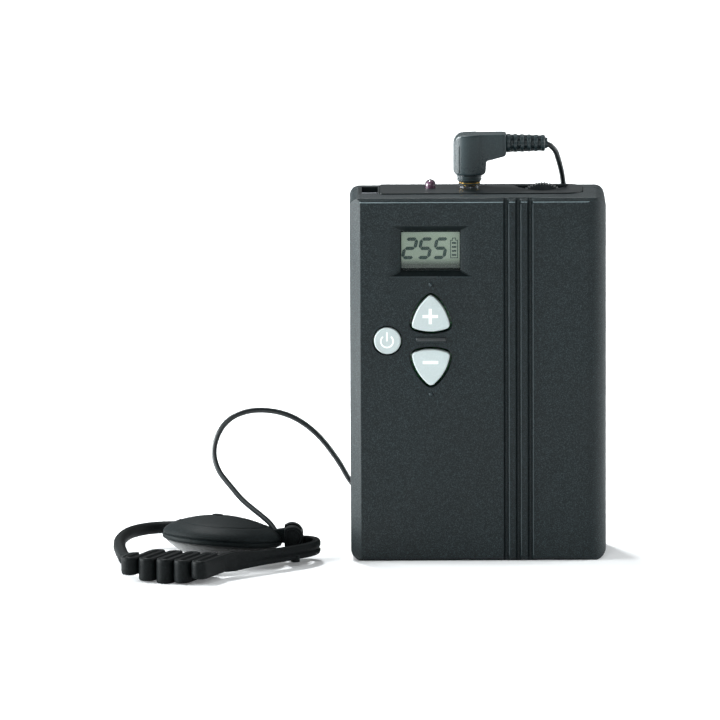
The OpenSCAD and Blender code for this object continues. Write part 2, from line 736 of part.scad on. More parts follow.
// Loop of wire that stands on the main board
module antenna() {
    color([0.72, 0.5, 0.3]) {
        for (s = [-1, 1]) cyl_y(loop_x, loop_z + s * loop_r, main_y, main_y + 4.4, loop_wire);
        translate([loop_x, main_y + 4.4, loop_z]) rotate([90, 0, 90])
            rotate_extrude(angle = 180, start = -90) translate([loop_r, 0]) circle(loop_wire);
    }
}

module jack_socket() {
    color([0.1, 0.1, 0.11]) difference() {
        union() {
            box([jack_x - jack_half, main_y, jack_z0], [jack_x + jack_half, jack_y + 3.4, jack_top]);
            translate([jack_x, jack_y, jack_z0]) cylinder(h = panel_z + 0.3 - jack_z0, r = neck_r);
        }
        translate([jack_x, jack_y, jack_z0 + 0.6]) cylinder(h = 20, r = pin_r + tiny);
    }
}

module jack_nut() {
    color([0.85, 0.85, 0.86]) translate([jack_x, jack_y, panel_z]) difference() {
        cylinder(h = nut_t, r = nut_r);
        translate([0, 0, -over]) cylinder(h = 4, r = neck_r + 0.02);
    }
}

module status_lamp() {
    color([0.9, 0.85, 0.88, 0.6]) translate([led_x, led_y, 0]) {
        translate([0, 0, jack_z0 + 10]) cylinder(h = panel_z + led_proud - led_r - jack_z0 - 10, r = led_r);
        translate([0, 0, panel_z + led_proud - led_r]) sphere(r = led_r);
        for (x = [-0.6, 0.6]) box([x - 0.2, -0.2, main_z1 - 4], [x + 0.2, 0.2, jack_z0 + 10]);
        for (x = [-0.6, 0.6]) box([x - 0.2, main_y - led_y, main_z1 - 4], [x + 0.2, 0.2, main_z1 - 3.6]);
    }
}

module volume_wheel() {
    color([0.12, 0.13, 0.14]) {
        difference() {
            along_y(wheel_y - wheel_t / 2, wheel_y + wheel_t / 2) translate([wheel_x, wheel_z])
                polygon([for (i = [0:wheel_teeth - 1], k = [0:3])
                    let (a = 360 * (i + [0.12, 0.38, 0.62, 0.88][k]) / wheel_teeth,
                        r = wheel_r - [0, 0, 0.35, 0.35][k])
                    [r * cos(a), r * sin(a)]]);
            cyl_y(wheel_x, wheel_z, wheel_y + wheel_t / 2 - 0.8, wheel_y + wheel_t / 2 + over, wheel_r - 1.6);
        }
        cyl_y(wheel_x, wheel_z, wheel_y + wheel_t / 2 - 1, wheel_y + wheel_t / 2, 2.4);
        cyl_y(wheel_x, wheel_z, main_y + 0.8, wheel_y, 1.5);
    }
}

module volume_control() {
    color([0.35, 0.3, 0.2]) difference() {
        cyl_y(wheel_x, wheel_z, main_y, wheel_y - wheel_t / 2 - gap, pot_r);
        cyl_y(wheel_x, wheel_z, main_y + 0.5, wheel_y, 1.5 + tiny);
    }
}

// ---- lanyard pocket ----

module lanyard_cup() {
    color([0.17, 0.19, 0.2]) difference() {
        box([pocket_x0 - cup_wall, pocket_y0 - cup_wall, body_h - pocket_deep - cup_wall],
            [pocket_x1 + cup_side, pocket_y1 + cup_wall, body_h]);
        box([pocket_x0, pocket_y0, body_h - pocket_deep], [pocket_x1, pocket_y1, body_h + over]);
        cyl_x(pocket_x0 - cup_wall - over, pocket_x1 + cup_side + over, bar_y, bar_z, bar_r + 0.02);
    }
}

module lanyard_bar() {
    color([0.75, 0.76, 0.78])
        cyl_x(pocket_x0 - cup_wall + 0.05, pocket_x1 + cup_side - 0.05, bar_y, bar_z, bar_r);
}

// ---- battery bay ----

module cell_tray() {
    color([0.1, 0.1, 0.1]) difference() {
        box([-bay_half - tray_wall, tray_front, bay_z0 - tray_wall],
            [bay_half + tray_wall, inner_back, bay_z1 + tray_wall]);
        box([-bay_half, tray_front + tray_wall, bay_z0], [bay_half, inner_back + over, bay_z1]);
        // the latch tongue's room
        box([-latch_w / 2 - gap, inner_back - 2, bay_z1 - over],
            [latch_w / 2 + gap, inner_back + over, bay_z1 + 3]);
    }
}

// A cell standing on z0; nub is 1 with its nub up and -1 with its nub down
module cell(x, z0, nub) {
    color([0.3, 0.32, 0.36]) translate([x, cell_y, nub > 0 ? z0 : z0 + cell_len])
        mirror([0, 0, nub > 0 ? 0 : 1]) {
            cylinder(h = cell_len - 1.2, r = cell_r);
            cylinder(h = cell_len, r = 2.7);
        }
}

module cell_left() {
    cell(-cell_x, bay_z0 + plate_t + spring_len, 1);
}

module cell_right() {
    cell(cell_x, bay_z0 + plate_t, -1);
}

module contact_plates() {
    color([0.8, 0.8, 0.78]) for (x = [-cell_x, cell_x], z = [bay_z0, bay_z1 - plate_t])
        box([x - plate_half, cell_y - plate_half, z], [x + plate_half, cell_y + plate_half, z + plate_t]);
}

// Conical contact springs, drawn as stacked rings
module contact_springs() {
    color([0.82, 0.82, 0.8]) for (s = [-1, 1])
        translate([s * cell_x, cell_y, s < 0 ? bay_z0 + plate_t : bay_z1 - plate_t])
            mirror([0, 0, s < 0 ? 0 : 1]) for (i = [0:3])
                translate([0, 0, spring_wire + i * (spring_len - 2 * spring_wire) / 3]) rotate_extrude()
                    translate([cell_r * 0.46 - i * 0.42, 0]) circle(spring_wire, $fn = 16);
}

module battery_door() {
    color([0.16, 0.18, 0.19]) difference() {
        union() {
            along_x(-door_half, door_half) union() {
                translate([hinge_y, hinge_z]) circle(hinge_edge_r);
                translate([inner_back, hinge_z]) square([back_wall, door_z1 - hinge_z]);
            }
            box([-latch_w / 2, inner_back, door_z1 - over],
                [latch_w / 2, back_y - 0.3, bay_z1 + latch_h - gap]);
            cyl_x(-door_half - hinge_pin_len - gap, door_half + hinge_pin_len + gap, hinge_y, hinge_z,
                hinge_pin_r);
        }
        // grip grooves below the latch
        for (i = [0:4]) cyl_x(-7, 7, back_y + 0.25, door_z1 - 5 - i * 1.6, 0.6);
    }
}

module foot_pads() {
    color([0.14, 0.14, 0.15]) for (s = [-1, 1])
        box([s * foot_x - foot_w / 2, foot_y[0], 0], [s * foot_x + foot_w / 2, foot_y[1], foot_t]);
}

module case_screws() {
    color([0.6, 0.61, 0.62]) for (x = [-case_screw_x, case_screw_x], z = case_screw_z)
        difference() {
            union() {
                cyl_y(x, z, seam_y - case_screw_depth + 0.4, back_y - 2.4, screw_r);
                cyl_y(x, z, back_y - 2.4, back_y - 1.2, screw_head_r);
            }
            box([x - 1.2, back_y - 1.7, z - 0.22], [x + 1.2, back_y, z + 0.22]);
            box([x - 0.22, back_y - 1.7, z - 1.2], [x + 0.22, back_y, z + 1.2]);
        }
}

// ---- plug and cord ----

module plug_body() {
    color([0.15, 0.16, 0.17]) intersection() {
        along_y(jack_y - plug_r, jack_y + plug_r) polygon(concat(
            [[jack_x - 3.6, plug_z1], [jack_x + 3.6, plug_z1], [jack_x + plug_r, plug_z1 + 0.8],
                [jack_x + plug_r + 0.15, arm_z - 4.6], [arm_x1 - 0.6, arm_z - arm_r - 0.6],
                [arm_x1, arm_z - arm_r], [arm_x1, arm_z + arm_r], [arm_x1 - 1, plug_top]],
            [for (a = [90:15:180]) [jack_x - plug_r + 2.7 + 2.7 * cos(a), plug_top - 2.9 + 2.7 * sin(a)]],
            [[jack_x - plug_r, plug_z1 + 0.8]]));
        translate([0, 0, plug_z1]) linear_extrude(plug_top - plug_z1) union() {
            translate([jack_x, jack_y]) circle(plug_r);
            round_rect(jack_x - 1, jack_y - 3.4, arm_x1, jack_y + 3.4, 1);
        }
    }
}

module plug_collar() {
    color([0.13, 0.14, 0.15]) translate([jack_x, jack_y, 0]) {
        translate([0, 0, collar_z0 + 0.3]) cylinder(h = plug_z1 - collar_z0 - 0.3, r = collar_r);
        translate([0, 0, collar_z0]) cylinder(h = 0.3, r1 = collar_r - 0.3, r2 = collar_r);
    }
}

// Metal pin with its shoulder, three contact rings and tip
module plug_pin() {
    color([0.8, 0.66, 0.35]) translate([jack_x, jack_y, 0]) {
        translate([0, 0, plug_z0]) cylinder(h = collar_z0 - plug_z0, r = ring_r);
        rotate_extrude() polygon([[0, plug_z0 - plug_pin_len], [0.5, plug_z0 - plug_pin_len],
            [pin_r - 0.05, plug_z0 - plug_pin_len + 1.6], [pin_r - 0.5, plug_z0 - plug_pin_len + 2.8],
            [pin_r, plug_z0 - plug_pin_len + 3.6], [pin_r, plug_z0], [0, plug_z0]]);
    }
}

// Ribbed sleeve where the cord leaves the plug
module strain_relief() {
    step = relief_len / relief_ribs;
    color([0.13, 0.14, 0.15]) translate([arm_x1, jack_y, arm_z]) rotate([0, 90, 0]) difference() {
        rotate_extrude() polygon(concat([[0, 0]],
            [for (i = [0:relief_ribs - 1]) let (r = relief_r - 0.07 * i, neck = r - 0.75)
                each [[r, i * step], [r, (i + 0.62) * step], [neck, (i + 0.62) * step],
                    [neck, (i + 1) * step]]],
            [[0, relief_len]]));
        // flared mouth that the cord leaves by
        translate([0, 0, relief_len - 2.6])
            cylinder(h = 2.6 + over, r1 = cord_d / 2 + gap, r2 = cord_d / 2 + 0.5);
    }
}

module cord_drop() {
    color([0.12, 0.12, 0.13]) tube(smooth(drop_route, 2), cord_d / 2, 8, [1, 1, 1]);
}

module cord_arch() {
    color([0.12, 0.12, 0.13]) tube(smooth(arch_route, 2), cord_d / 2, 8, [1, -1, 1]);
}

// The coil's outer shape; its turns are drawn with the looks
module cord_coil() {
    color([0.12, 0.12, 0.13]) translate([coil_at[0], coil_at[1], coil_z0]) rotate_extrude()
        round_rect(coil_r - coil_half, 0, coil_r + coil_half, coil_h, cord_d / 2);
}

module coil_tie() {
    t = 0.35;
    color([0.08, 0.08, 0.08]) translate([coil_at[0], coil_at[1] - 1.5, coil_z0]) difference() {
        box([-coil_r - coil_half - t - 0.05, 0, -t - 0.03],
            [-coil_r + coil_half + t + 0.05, 3, coil_h + t + 0.03]);
        box([-coil_r - coil_half - 0.05, -over, -0.03],
            [-coil_r + coil_half + 0.05, 3 + over, coil_h + 0.03]);
    }
}

// ---- earphone ----

// Outline of the dome, from the rim over the crease to the middle
function dome_profile() =
    let (r1 = crease_r - 0.3, h1 = crease_h + 0.15, rise = dome_h - h1,
        ball = (r1 * r1 + rise * rise) / (2 * rise))
    concat([[pod_r - 0.2, 0], [pod_r - 0.1, 0.5], [pod_r - 0.8, 1.5], [pod_r - 2.2, 2.5],
        [crease_r + 0.3, crease_h], [crease_r, crease_h - 0.1]],
        [for (k = [0:8]) let (r = r1 * (8 - k) / 8) [r, dome_h - ball + sqrt(ball * ball - r * r)]]);

// Puts a part of the speaker housing on its parting line, leaning as it lies
module on_pod() {
    translate([pod_at[0], pod_at[1], pod_z]) rotate([-pod_nod, pod_lean, 0]) children();
}

// Room round the swivel lug, for the parts of the housing beside it
module lug_shape(r, half) {
    hull() {
        cyl_y(knob_at[0], knob_z, knob_at[1] - half, knob_at[1] + half, r);
        cyl_y(knob_at[0] - 5.5, knob_z, knob_at[1] - half, knob_at[1] + half, r * 0.7);
    }
}

module speaker_shell() {
    color([0.14, 0.15, 0.16]) difference() {
        union() {
            on_pod() rotate_extrude() polygon(concat([[0, 0]], dome_profile()));
            lug_shape(lug_r, lug_half);
        }
        on_pod() translate([0, 0, -bezel_h - 4]) cylinder(h = bezel_h + 4 + driver_deep, r = driver_r);
        on_pod() translate([cap_at[0], cap_at[1], dome_h - cap_seat]) cylinder(h = 2, r = cap_r + gap);
        cyl_y(knob_at[0], knob_z, knob_at[1] - 3, knob_at[1] + 3, axle_r + tiny);
    }
}

module speaker_bezel() {
    color([0.11, 0.12, 0.13]) difference() {
        on_pod() rotate_extrude() polygon([[driver_r, 0], [pod_r - 0.3, 0], [pod_r, -0.3],
            [pod_r, 0.5 - bezel_h], [pod_r - 0.5, -bezel_h], [driver_r, -bezel_h]]);
        lug_shape(lug_r + tiny, lug_half + tiny);
    }
}

module speaker_driver() {
    color([0.35, 0.35, 0.36]) on_pod() {
        translate([0, 0, -bezel_h]) cylinder(h = bezel_h + driver_deep - 0.2, r = driver_r - 0.1);
    }
}

// Cushion ring below the bezel, with its dished middle
module ear_pad() {
    color([0.32, 0.33, 0.34]) on_pod() rotate_extrude() polygon([[0, -bezel_h - 1],
        [pod_r - 8.4, -bezel_h - 1], [pod_r - 7.2, 0.6 - pad_deep], [pod_r - 6.2, -pad_deep],
        [pod_r - 5, 0.4 - pad_deep], [pod_r - 2.6, 1.7 - pad_deep], [pod_r - 0.9, -bezel_h], [0, -bezel_h]]);
}

module speaker_cap() {
    color([0.1, 0.1, 0.11]) on_pod() translate([cap_at[0], cap_at[1], dome_h - cap_seat])
        cylinder(h = cap_seat + 0.25, r = cap_r);
}

module swivel_axle() {
    color([0.6, 0.61, 0.62]) cyl_y(knob_at[0], knob_z, knob_at[1] - knob_half + 0.3,
        knob_at[1] + knob_half - 0.3, axle_r);
}

// Fork of the hook, with a flat side towards the housing and a slot for its lug
module swivel_knob() {
    color([0.12, 0.13, 0.14]) difference() {
        cyl_y(knob_at[0], knob_z, knob_at[1] - knob_half, knob_at[1] + knob_half, knob_r);
        cyl_y(knob_at[0], knob_z, knob_at[1] - knob_half + 0.3, knob_at[1] + knob_half - 0.3, axle_r + 0.01);
        box([knob_at[0] - 2 * knob_r, knob_at[1] - knob_half - over, knob_z - 2 * knob_r],
            [knob_at[0] - knob_flat, knob_at[1] + knob_half + over, knob_z + 2 * knob_r]);
        box([knob_at[0] - knob_r - over, knob_at[1] - lug_half - gap, knob_z - 2 * knob_r],
            [knob_at[0] + lug_r + gap, knob_at[1] + lug_half + gap, knob_z + 2 * knob_r]);
    }
}

module ear_hook() {
    rings = hook_rings();
    color([0.12, 0.13, 0.14]) skin([for (i = [0:len(rings) - 1])
        let (t = heading([for (r = rings) [r[0], r[1], 0]], i), u = cross(t, [0, 0, 1]), r = rings[i])
        [for (q = strip_section(r[3], r[4], 12)) [r[0], r[1], r[2]] + q[0] * u + [0, 0, q[1]]]]);
}

module hook_rivet() {
    color([0.1, 0.1, 0.11]) translate([strip_route[5][0], strip_route[5][1], 1.5])
        cylinder(h = 2, r = 1.25);
}

front_shell();
back_shell();
top_panel();
lcd_window();
lcd_module();
key_board();
power_key();
plus_key();
minus_key();
plunger(power_x, power_z);  // power_plunger
plunger(column_x, plus_z);  // plus_plunger
plunger(column_x, minus_z);  // minus_plunger
key_switches();
main_board();
rf_shield();
board_header();
antenna();
jack_socket();
jack_nut();
status_lamp();
volume_wheel();
volume_control();
lanyard_cup();
lanyard_bar();
cell_tray();
cell_left();
cell_right();
contact_plates();
contact_springs();
battery_door();
foot_pads();
case_screws();
board_screws();
key_board_screws();
plug_body();
plug_collar();
plug_pin();
strain_relief();
cord_drop();
cord_coil();
coil_tie();
cord_arch();
speaker_shell();
speaker_bezel();
speaker_driver();
ear_pad();
speaker_cap();
swivel_axle();
swivel_knob();
ear_hook();
hook_rivet();
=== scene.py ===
"""Pocket wireless receiver with its ear-hook earphone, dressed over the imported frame."""
import json
import math
import bmesh
import bpy
from mathutils import Matrix, Vector
from mathutils.bvhtree import BVHTree


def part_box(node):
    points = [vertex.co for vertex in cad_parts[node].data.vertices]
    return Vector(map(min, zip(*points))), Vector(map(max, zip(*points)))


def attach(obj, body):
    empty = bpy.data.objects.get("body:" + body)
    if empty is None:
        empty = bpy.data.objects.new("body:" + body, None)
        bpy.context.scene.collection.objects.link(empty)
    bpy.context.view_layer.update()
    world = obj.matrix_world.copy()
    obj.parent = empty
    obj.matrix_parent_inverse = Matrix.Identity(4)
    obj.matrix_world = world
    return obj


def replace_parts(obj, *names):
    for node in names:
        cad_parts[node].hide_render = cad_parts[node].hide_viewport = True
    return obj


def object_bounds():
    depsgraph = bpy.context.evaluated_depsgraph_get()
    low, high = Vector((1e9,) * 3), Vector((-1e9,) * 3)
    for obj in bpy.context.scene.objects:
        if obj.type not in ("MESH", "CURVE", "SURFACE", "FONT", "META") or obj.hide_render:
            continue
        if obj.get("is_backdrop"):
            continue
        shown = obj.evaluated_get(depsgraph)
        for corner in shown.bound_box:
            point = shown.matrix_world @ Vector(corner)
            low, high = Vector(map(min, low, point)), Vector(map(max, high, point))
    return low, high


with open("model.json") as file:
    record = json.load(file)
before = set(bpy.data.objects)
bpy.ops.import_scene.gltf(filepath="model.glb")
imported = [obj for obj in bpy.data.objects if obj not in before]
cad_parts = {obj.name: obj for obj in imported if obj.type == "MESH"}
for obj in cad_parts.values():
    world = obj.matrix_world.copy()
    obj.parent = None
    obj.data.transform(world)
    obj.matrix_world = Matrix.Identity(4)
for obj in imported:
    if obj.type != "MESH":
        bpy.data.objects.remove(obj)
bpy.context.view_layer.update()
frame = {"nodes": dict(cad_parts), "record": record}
MM = 0.001


def linked(name, data):
    """A new object in the scene, with its data."""
    piece = bpy.data.objects.new(name, data)
    bpy.context.scene.collection.objects.link(piece)
    return piece


def meshed(name, corners, edges, faces):
    """A new mesh object from corners in metres."""
    mesh = bpy.data.meshes.new(name)
    mesh.from_pydata(corners, edges, faces)
    return linked(name, mesh)


def strung(name, points, radius, resolution):
    """A round strand through points, in mm."""
    curve = bpy.data.curves.new(name, "CURVE")
    curve.dimensions = "3D"
    strand = curve.splines.new("POLY")
    strand.points.add(len(points) - 1)
    for point, place in zip(strand.points, points):
        point.co = [c * MM for c in place] + [1]
    curve.bevel_depth = radius * MM
    curve.bevel_resolution = resolution
    curve.use_fill_caps = True
    strand.use_smooth = True
    return linked(name, curve)


# ---- camera ----

PHOTO_W = 720
PHOTO_H = 720
CAMERA_LENS = 457.875
CAMERA_SENSOR = 36.0
CAMERA_FAR = 2.5
CAMERA_PITCH = math.radians(9.7)
CAMERA_ROLL = math.radians(-0.25)
CAMERA_AIM = Vector((-0.0323, -0.012, 0.055837))


def set_camera():
    """The camera stands where the photograph was taken from."""
    data = bpy.data.cameras.new("photo camera")
    data.lens = CAMERA_LENS
    data.sensor_width = CAMERA_SENSOR
    data.sensor_fit = "AUTO"
    data.clip_start = 0.01
    data.clip_end = 50.0
    camera = linked("photo camera", data)
    back = Vector((0, -math.cos(CAMERA_PITCH), math.sin(CAMERA_PITCH)))
    right = Vector((1, 0, 0))
    up = back.cross(right)
    side = right * math.cos(CAMERA_ROLL) + up * math.sin(CAMERA_ROLL)
    top = up * math.cos(CAMERA_ROLL) - right * math.sin(CAMERA_ROLL)
    turn = Matrix((side, top, back)).transposed().to_4x4()
    camera.matrix_world = Matrix.Translation(CAMERA_AIM + back * CAMERA_FAR) @ turn
    bpy.context.scene.camera = camera
    bpy.context.view_layer.update()
    return camera


camera = set_camera()

# Middles and edges of things in the photograph, in its pixels: x, y
POINTS = {
    "case left side": (350.2, None),
    "case right side": (605.8, None),
    "case front foot": (None, 559.8),
    "display glass": (430.4, 250.4),
    "plus key": (430.9, 313.0),
    "minus key": (430.9, 366.6),
    "power key": (387.4, 340.1),
    "ridge between the keys": (431.3, 339.9),
    "upper dot": (430.7, 284.7),
    "lamp foot": (430.3, 187.4),
    "wheel": (541.9, 183.0),
    "plug top": (None, 132.8),
    "plug left side": (453.3, None),
    "sleeve end": (547.6, 143.2),
    "speaker cap": (215.3, 513.3),
    "swivel knob": (289.6, 530.4),
    "wedge mark": (554.2, 188.4),
    "plus print": (430.3, 316.5),
    "minus print": (430.5, 362.5),
    "power print": (387.0, 341.4),
}


def sight(x, y):
    """Start and direction of the line of sight through a point of the photograph."""
    long_side = max(PHOTO_W, PHOTO_H)
    lens = camera.data
    way = Vector((x - PHOTO_W / 2 + lens.shift_x * long_side,
                  PHOTO_H / 2 - y + lens.shift_y * long_side,
                  -long_side * lens.lens / lens.sensor_width))
    place = camera.matrix_world
    return place.translation.copy(), (place.to_3x3() @ way).normalized()


def seen_at(point):
    """Where a point of the scene shows in the photograph's frame."""
    local = camera.matrix_world.inverted() @ Vector(point)
    long_side = max(PHOTO_W, PHOTO_H)
    scale = long_side * camera.data.lens / camera.data.sensor_width / -local.z
    return PHOTO_W / 2 + local.x * scale, PHOTO_H / 2 - local.y * scale


# ---- picking and shaping ----


def let_go():
    """Leaves edit mode with nothing selected."""
    if bpy.context.object and bpy.context.object.mode != "OBJECT":
        bpy.ops.object.mode_set(mode="OBJECT")
    bpy.ops.object.select_all(action="DESELECT")


def take(piece):
    """Only this piece is selected and active."""
    let_go()
    piece.select_set(True)
    bpy.context.view_layer.objects.active = piece


def open_up(piece, kind="FACE"):
    """Edit mode on this piece with nothing picked."""
    take(piece)
    bpy.ops.object.mode_set(mode="EDIT")
    bpy.ops.mesh.select_mode(type=kind)
    bpy.ops.mesh.select_all(action="DESELECT")


def close_up():
    bpy.ops.object.mode_set(mode="OBJECT")


def close_outward(merge=False):
    """Turns all faces outward, with corners that meet merged if asked, and leaves edit mode."""
    bpy.ops.mesh.select_all(action="SELECT")
    if merge:
        bpy.ops.mesh.remove_doubles(threshold=1e-7)
    bpy.ops.mesh.normals_make_consistent(inside=False)
    close_up()


def pick_faces(piece, test):
    """Picks the faces whose middle and normal pass the test."""
    shape = bmesh.from_edit_mesh(piece.data)
    for face in shape.faces:
        face.select_set(bool(test(face.calc_center_median(), face.normal)))
    bmesh.update_edit_mesh(piece.data)


def settle(piece, name=None):
    """Applies place, turn and size, so that the object is at the origin."""
    take(piece)
    if name:
        piece.name = name
        piece.data.name = name
    bpy.ops.object.transform_apply(location=True, rotation=True, scale=True)
    return piece


def block(name, low, high):
    """A block between two corners, in mm, to be shaped further."""
    let_go()
    middle = [(a + b) / 2 * MM for a, b in zip(low, high)]
    bpy.ops.mesh.primitive_cube_add(size=1, location=middle)
    piece = bpy.context.object
    piece.scale = [(b - a) * MM for a, b in zip(low, high)]
    return settle(piece, name)


def rod(name, middle, radius, length, sides=48, along="Z"):
    """A round rod with its middle at a point, in mm, to be shaped further."""
    let_go()
    turn = {"Z": (0, 0, 0), "X": (0, math.pi / 2, 0), "Y": (math.pi / 2, 0, 0)}[along]
    bpy.ops.mesh.primitive_cylinder_add(vertices=sides, radius=radius * MM, depth=length * MM,
                                        location=[c * MM for c in middle], rotation=turn)
    return settle(bpy.context.object, name)


def turned(name, profile, sides=64, place=(0, 0, 0), tilt=(0, 0, 0)):
    """A lathed piece: its profile of radius and height, in mm, spun once round."""
    piece = meshed(name, [(r * MM, 0, z * MM) for r, z in profile],
                   [(i, i + 1) for i in range(len(profile) - 1)], [])
    open_up(piece, "VERT")
    bpy.ops.mesh.select_all(action="SELECT")
    bpy.ops.mesh.spin(steps=sides, angle=2 * math.pi, center=(0, 0, 0), axis=(0, 0, 1))
    close_outward(merge=True)
    piece.location = [c * MM for c in place]
    piece.rotation_euler = tilt
    return settle(piece)


def drawn(name, outline, low, high, axis="Y"):
    """A flat outline in mm, extruded between two levels along an axis."""
    spread = {"X": lambda a, b: (low, a, b), "Y": lambda a, b: (a, low, b),
              "Z": lambda a, b: (a, b, low)}[axis]
    piece = meshed(name, [[c * MM for c in spread(a, b)] for a, b in outline], [],
                   [list(range(len(outline)))])
    open_up(piece)
    bpy.ops.mesh.select_all(action="SELECT")
    step = {"X": (1, 0, 0), "Y": (0, 1, 0), "Z": (0, 0, 1)}[axis]
    shift = [(high - low) * MM * s for s in step]
    bpy.ops.mesh.extrude_region_move(TRANSFORM_OT_translate={"value": shift})
    close_outward()
    return piece


def marked_edges(piece, angle, left_sharp):
    """Marks the sharp edges to be rounded, without those whose middle in mm passes the test."""
    shape = bmesh.new()
    shape.from_mesh(piece.data)
    weight = shape.edges.layers.float.new("bevel_weight_edge")
    for edge in shape.edges:
        middle = (edge.verts[0].co + edge.verts[1].co) / 2 / MM
        sharp = len(edge.link_faces) == 2 and edge.calc_face_angle() > math.radians(angle)
        if sharp and not left_sharp(middle):
            edge[weight] = 1.0
    shape.to_mesh(piece.data)
    shape.free()


def finish_edges(piece, width, turns=2, angle=30, smooth=35, left_sharp=None):
    """Rounds the sharp edges by a width in mm and smooths the shading between flat faces."""
    if left_sharp:
        marked_edges(piece, angle, left_sharp)
    take(piece)
    if width:
        edge = piece.modifiers.new("rounded edges", "BEVEL")
        edge.width = width * MM
        edge.segments = turns
        edge.limit_method = "WEIGHT" if left_sharp else "ANGLE"
        edge.angle_limit = math.radians(angle)
        edge.use_clamp_overlap = False
        edge.miter_outer = "MITER_ARC"
        bpy.ops.object.modifier_apply(modifier=edge.name)
    bpy.ops.object.shade_smooth_by_angle(angle=math.radians(smooth))
    normal = piece.modifiers.new("flat faces", "WEIGHTED_NORMAL")
    normal.keep_sharp = True
    bpy.ops.object.modifier_apply(modifier=normal.name)
    return piece


def softened(node, name, width, turns=2, angle=30, smooth=35, left_sharp=None):
    """A copy of a CAD node with whole faces instead of triangles and rounded edges."""
    source = frame["nodes"][node]
    piece = linked(name, source.data.copy())
    piece.data.name = name
    piece.data.materials.clear()
    open_up(piece, "VERT")
    bpy.ops.mesh.select_all(action="SELECT")
    bpy.ops.mesh.customdata_custom_splitnormals_clear()
    bpy.ops.mesh.remove_doubles(threshold=1e-6)
    bpy.ops.mesh.dissolve_limited(angle_limit=0.01)
    close_up()
    return finish_edges(piece, width, turns, angle, smooth, left_sharp=left_sharp)


def copied(piece, name, shift=(0, 0, 0), turn=None):
    """A copy with its own mesh, moved by mm, after a turn given as a matrix."""
    again = piece.copy()
    again.data = piece.data.copy()
    again.name = name
    again.data.name = name
    bpy.context.scene.collection.objects.link(again)
    if turn is not None:
        again.data.transform(turn)
    again.data.transform(Matrix.Translation([c * MM for c in shift]))
    return again


def joined(name, pieces):
    """Several finished pieces as one object."""
    let_go()
    for piece in pieces:
        piece.select_set(True)
    bpy.context.view_layer.objects.active = pieces[0]
    if len(pieces) > 1:
        bpy.ops.object.join()
    whole = bpy.context.object
    whole.name = name
    whole.data.name = name
    return whole


def hand_over(piece, finish, slot, body, *nodes):
    """Gives a piece its finish and its body, and the CAD nodes that it stands for."""
    piece.data.materials.clear()
    piece.data.materials.append(finish)
    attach(piece, body)
    if nodes:
        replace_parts(piece, *nodes)
    return piece


def dressed(node, name, width, finish, slot, body="receiver", **how):
    """A softened copy of a CAD node, handed over in the node's place."""
    return hand_over(softened(node, name, width, **how), finish, slot, body, node)


def kept_within(piece, node):
    """Pulls in the corners of a rounded piece that its rounding pushed out of the node's box."""
    low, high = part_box(node)
    for corner in piece.data.vertices:
        corner.co = [min(max(c, a), b) for c, a, b in zip(corner.co, low, high)]


# ---- the cord: plug to coil, coil to earphone, in mm as in the source ----

CORD_ACROSS = 1.5
DROP_ROUTE = [
    (16.8, 7, 112.75), (18, 7, 112.7), (19.1, 7, 112.45), (20.1, 7.1, 111.95), (21, 7.4, 111.1),
    (21.75, 8, 109.8), (22.4, 9, 107.7), (23.1, 10.7, 104.9), (23.6, 12.7, 102.1),
    (23.9, 14.2, 99.2),
    (24, 15.3, 95.4), (24, 16, 90.6), (23.8, 16.5, 84), (23.6, 16.8, 75), (23.4, 17, 66),
    (23.2, 17.2, 56),
    (23, 17.4, 46), (22.8, 17.6, 36), (22.6, 17.9, 26), (22.4, 18.5, 17), (22, 19.8, 9.2),
    (21.2, 22.6, 3.8), (19.9, 26.4, 1.5), (18, 30.2, 1.25)]
ARCH_ROUTE = [
    (5.8, 46.35, 2.76), (2.4, 46.5, 2.8), (-3.6, 45.8, 3.0), (-11, 42.6, 3.5), (-17.8, 36.7, 4.3),
    (-23.8, 29.8, 6.2),
    (-29.6, 23.6, 10.3),
    (-34.9, 18.5, 16.4), (-38.4, 15.5, 22.8), (-43.2, 12, 29.9), (-48.6, 9, 35.1),
    (-54.4, 6.5, 38.1),
    (-60.8, 4, 39.2), (-66.1, 1.5, 38.4), (-69.8, 0, 35.8), (-72, -1.5, 31.7), (-72.4, -2.8, 27.6),
    (-71, -4.2, 23.6), (-68.1, -5.6, 20), (-64.7, -7, 16.2), (-61, -8.5, 13.3), (-58.4, -9.5, 11.3),
    (-56.9, -10.1, 9.9), (-55.9, -10.6, 8.5)]
COIL_MIDDLE = (5, 34)
COIL_LANES = (12.35, 10.81, 9.27, 7.73, 6.19, 4.65)
COIL_LAYERS = (1.25, 2.76)
COIL_STEP = 12
LANE_CHANGE = 45
FIRST_CHANGE_AT = 300
COIL_LEAVES_AT = 84


def smooth_line(points, steps):
    """The curve through all points, with steps parts between neighbours."""
    line = []
    last = len(points) - 1
    for i in range(last):
        a, b, c, d = (points[max(i - 1, 0)], points[i], points[i + 1], points[min(i + 2, last)])
        for k in range(steps):
            t = k / steps
            line.append(tuple(0.5 * (2 * q + (r - p) * t + (2 * p - 5 * q + 4 * r - s) * t * t
                                     + (3 * q - p - 3 * r + s) * t ** 3)
                              for p, q, r, s in zip(a, b, c, d)))
    return line + [tuple(points[last])]


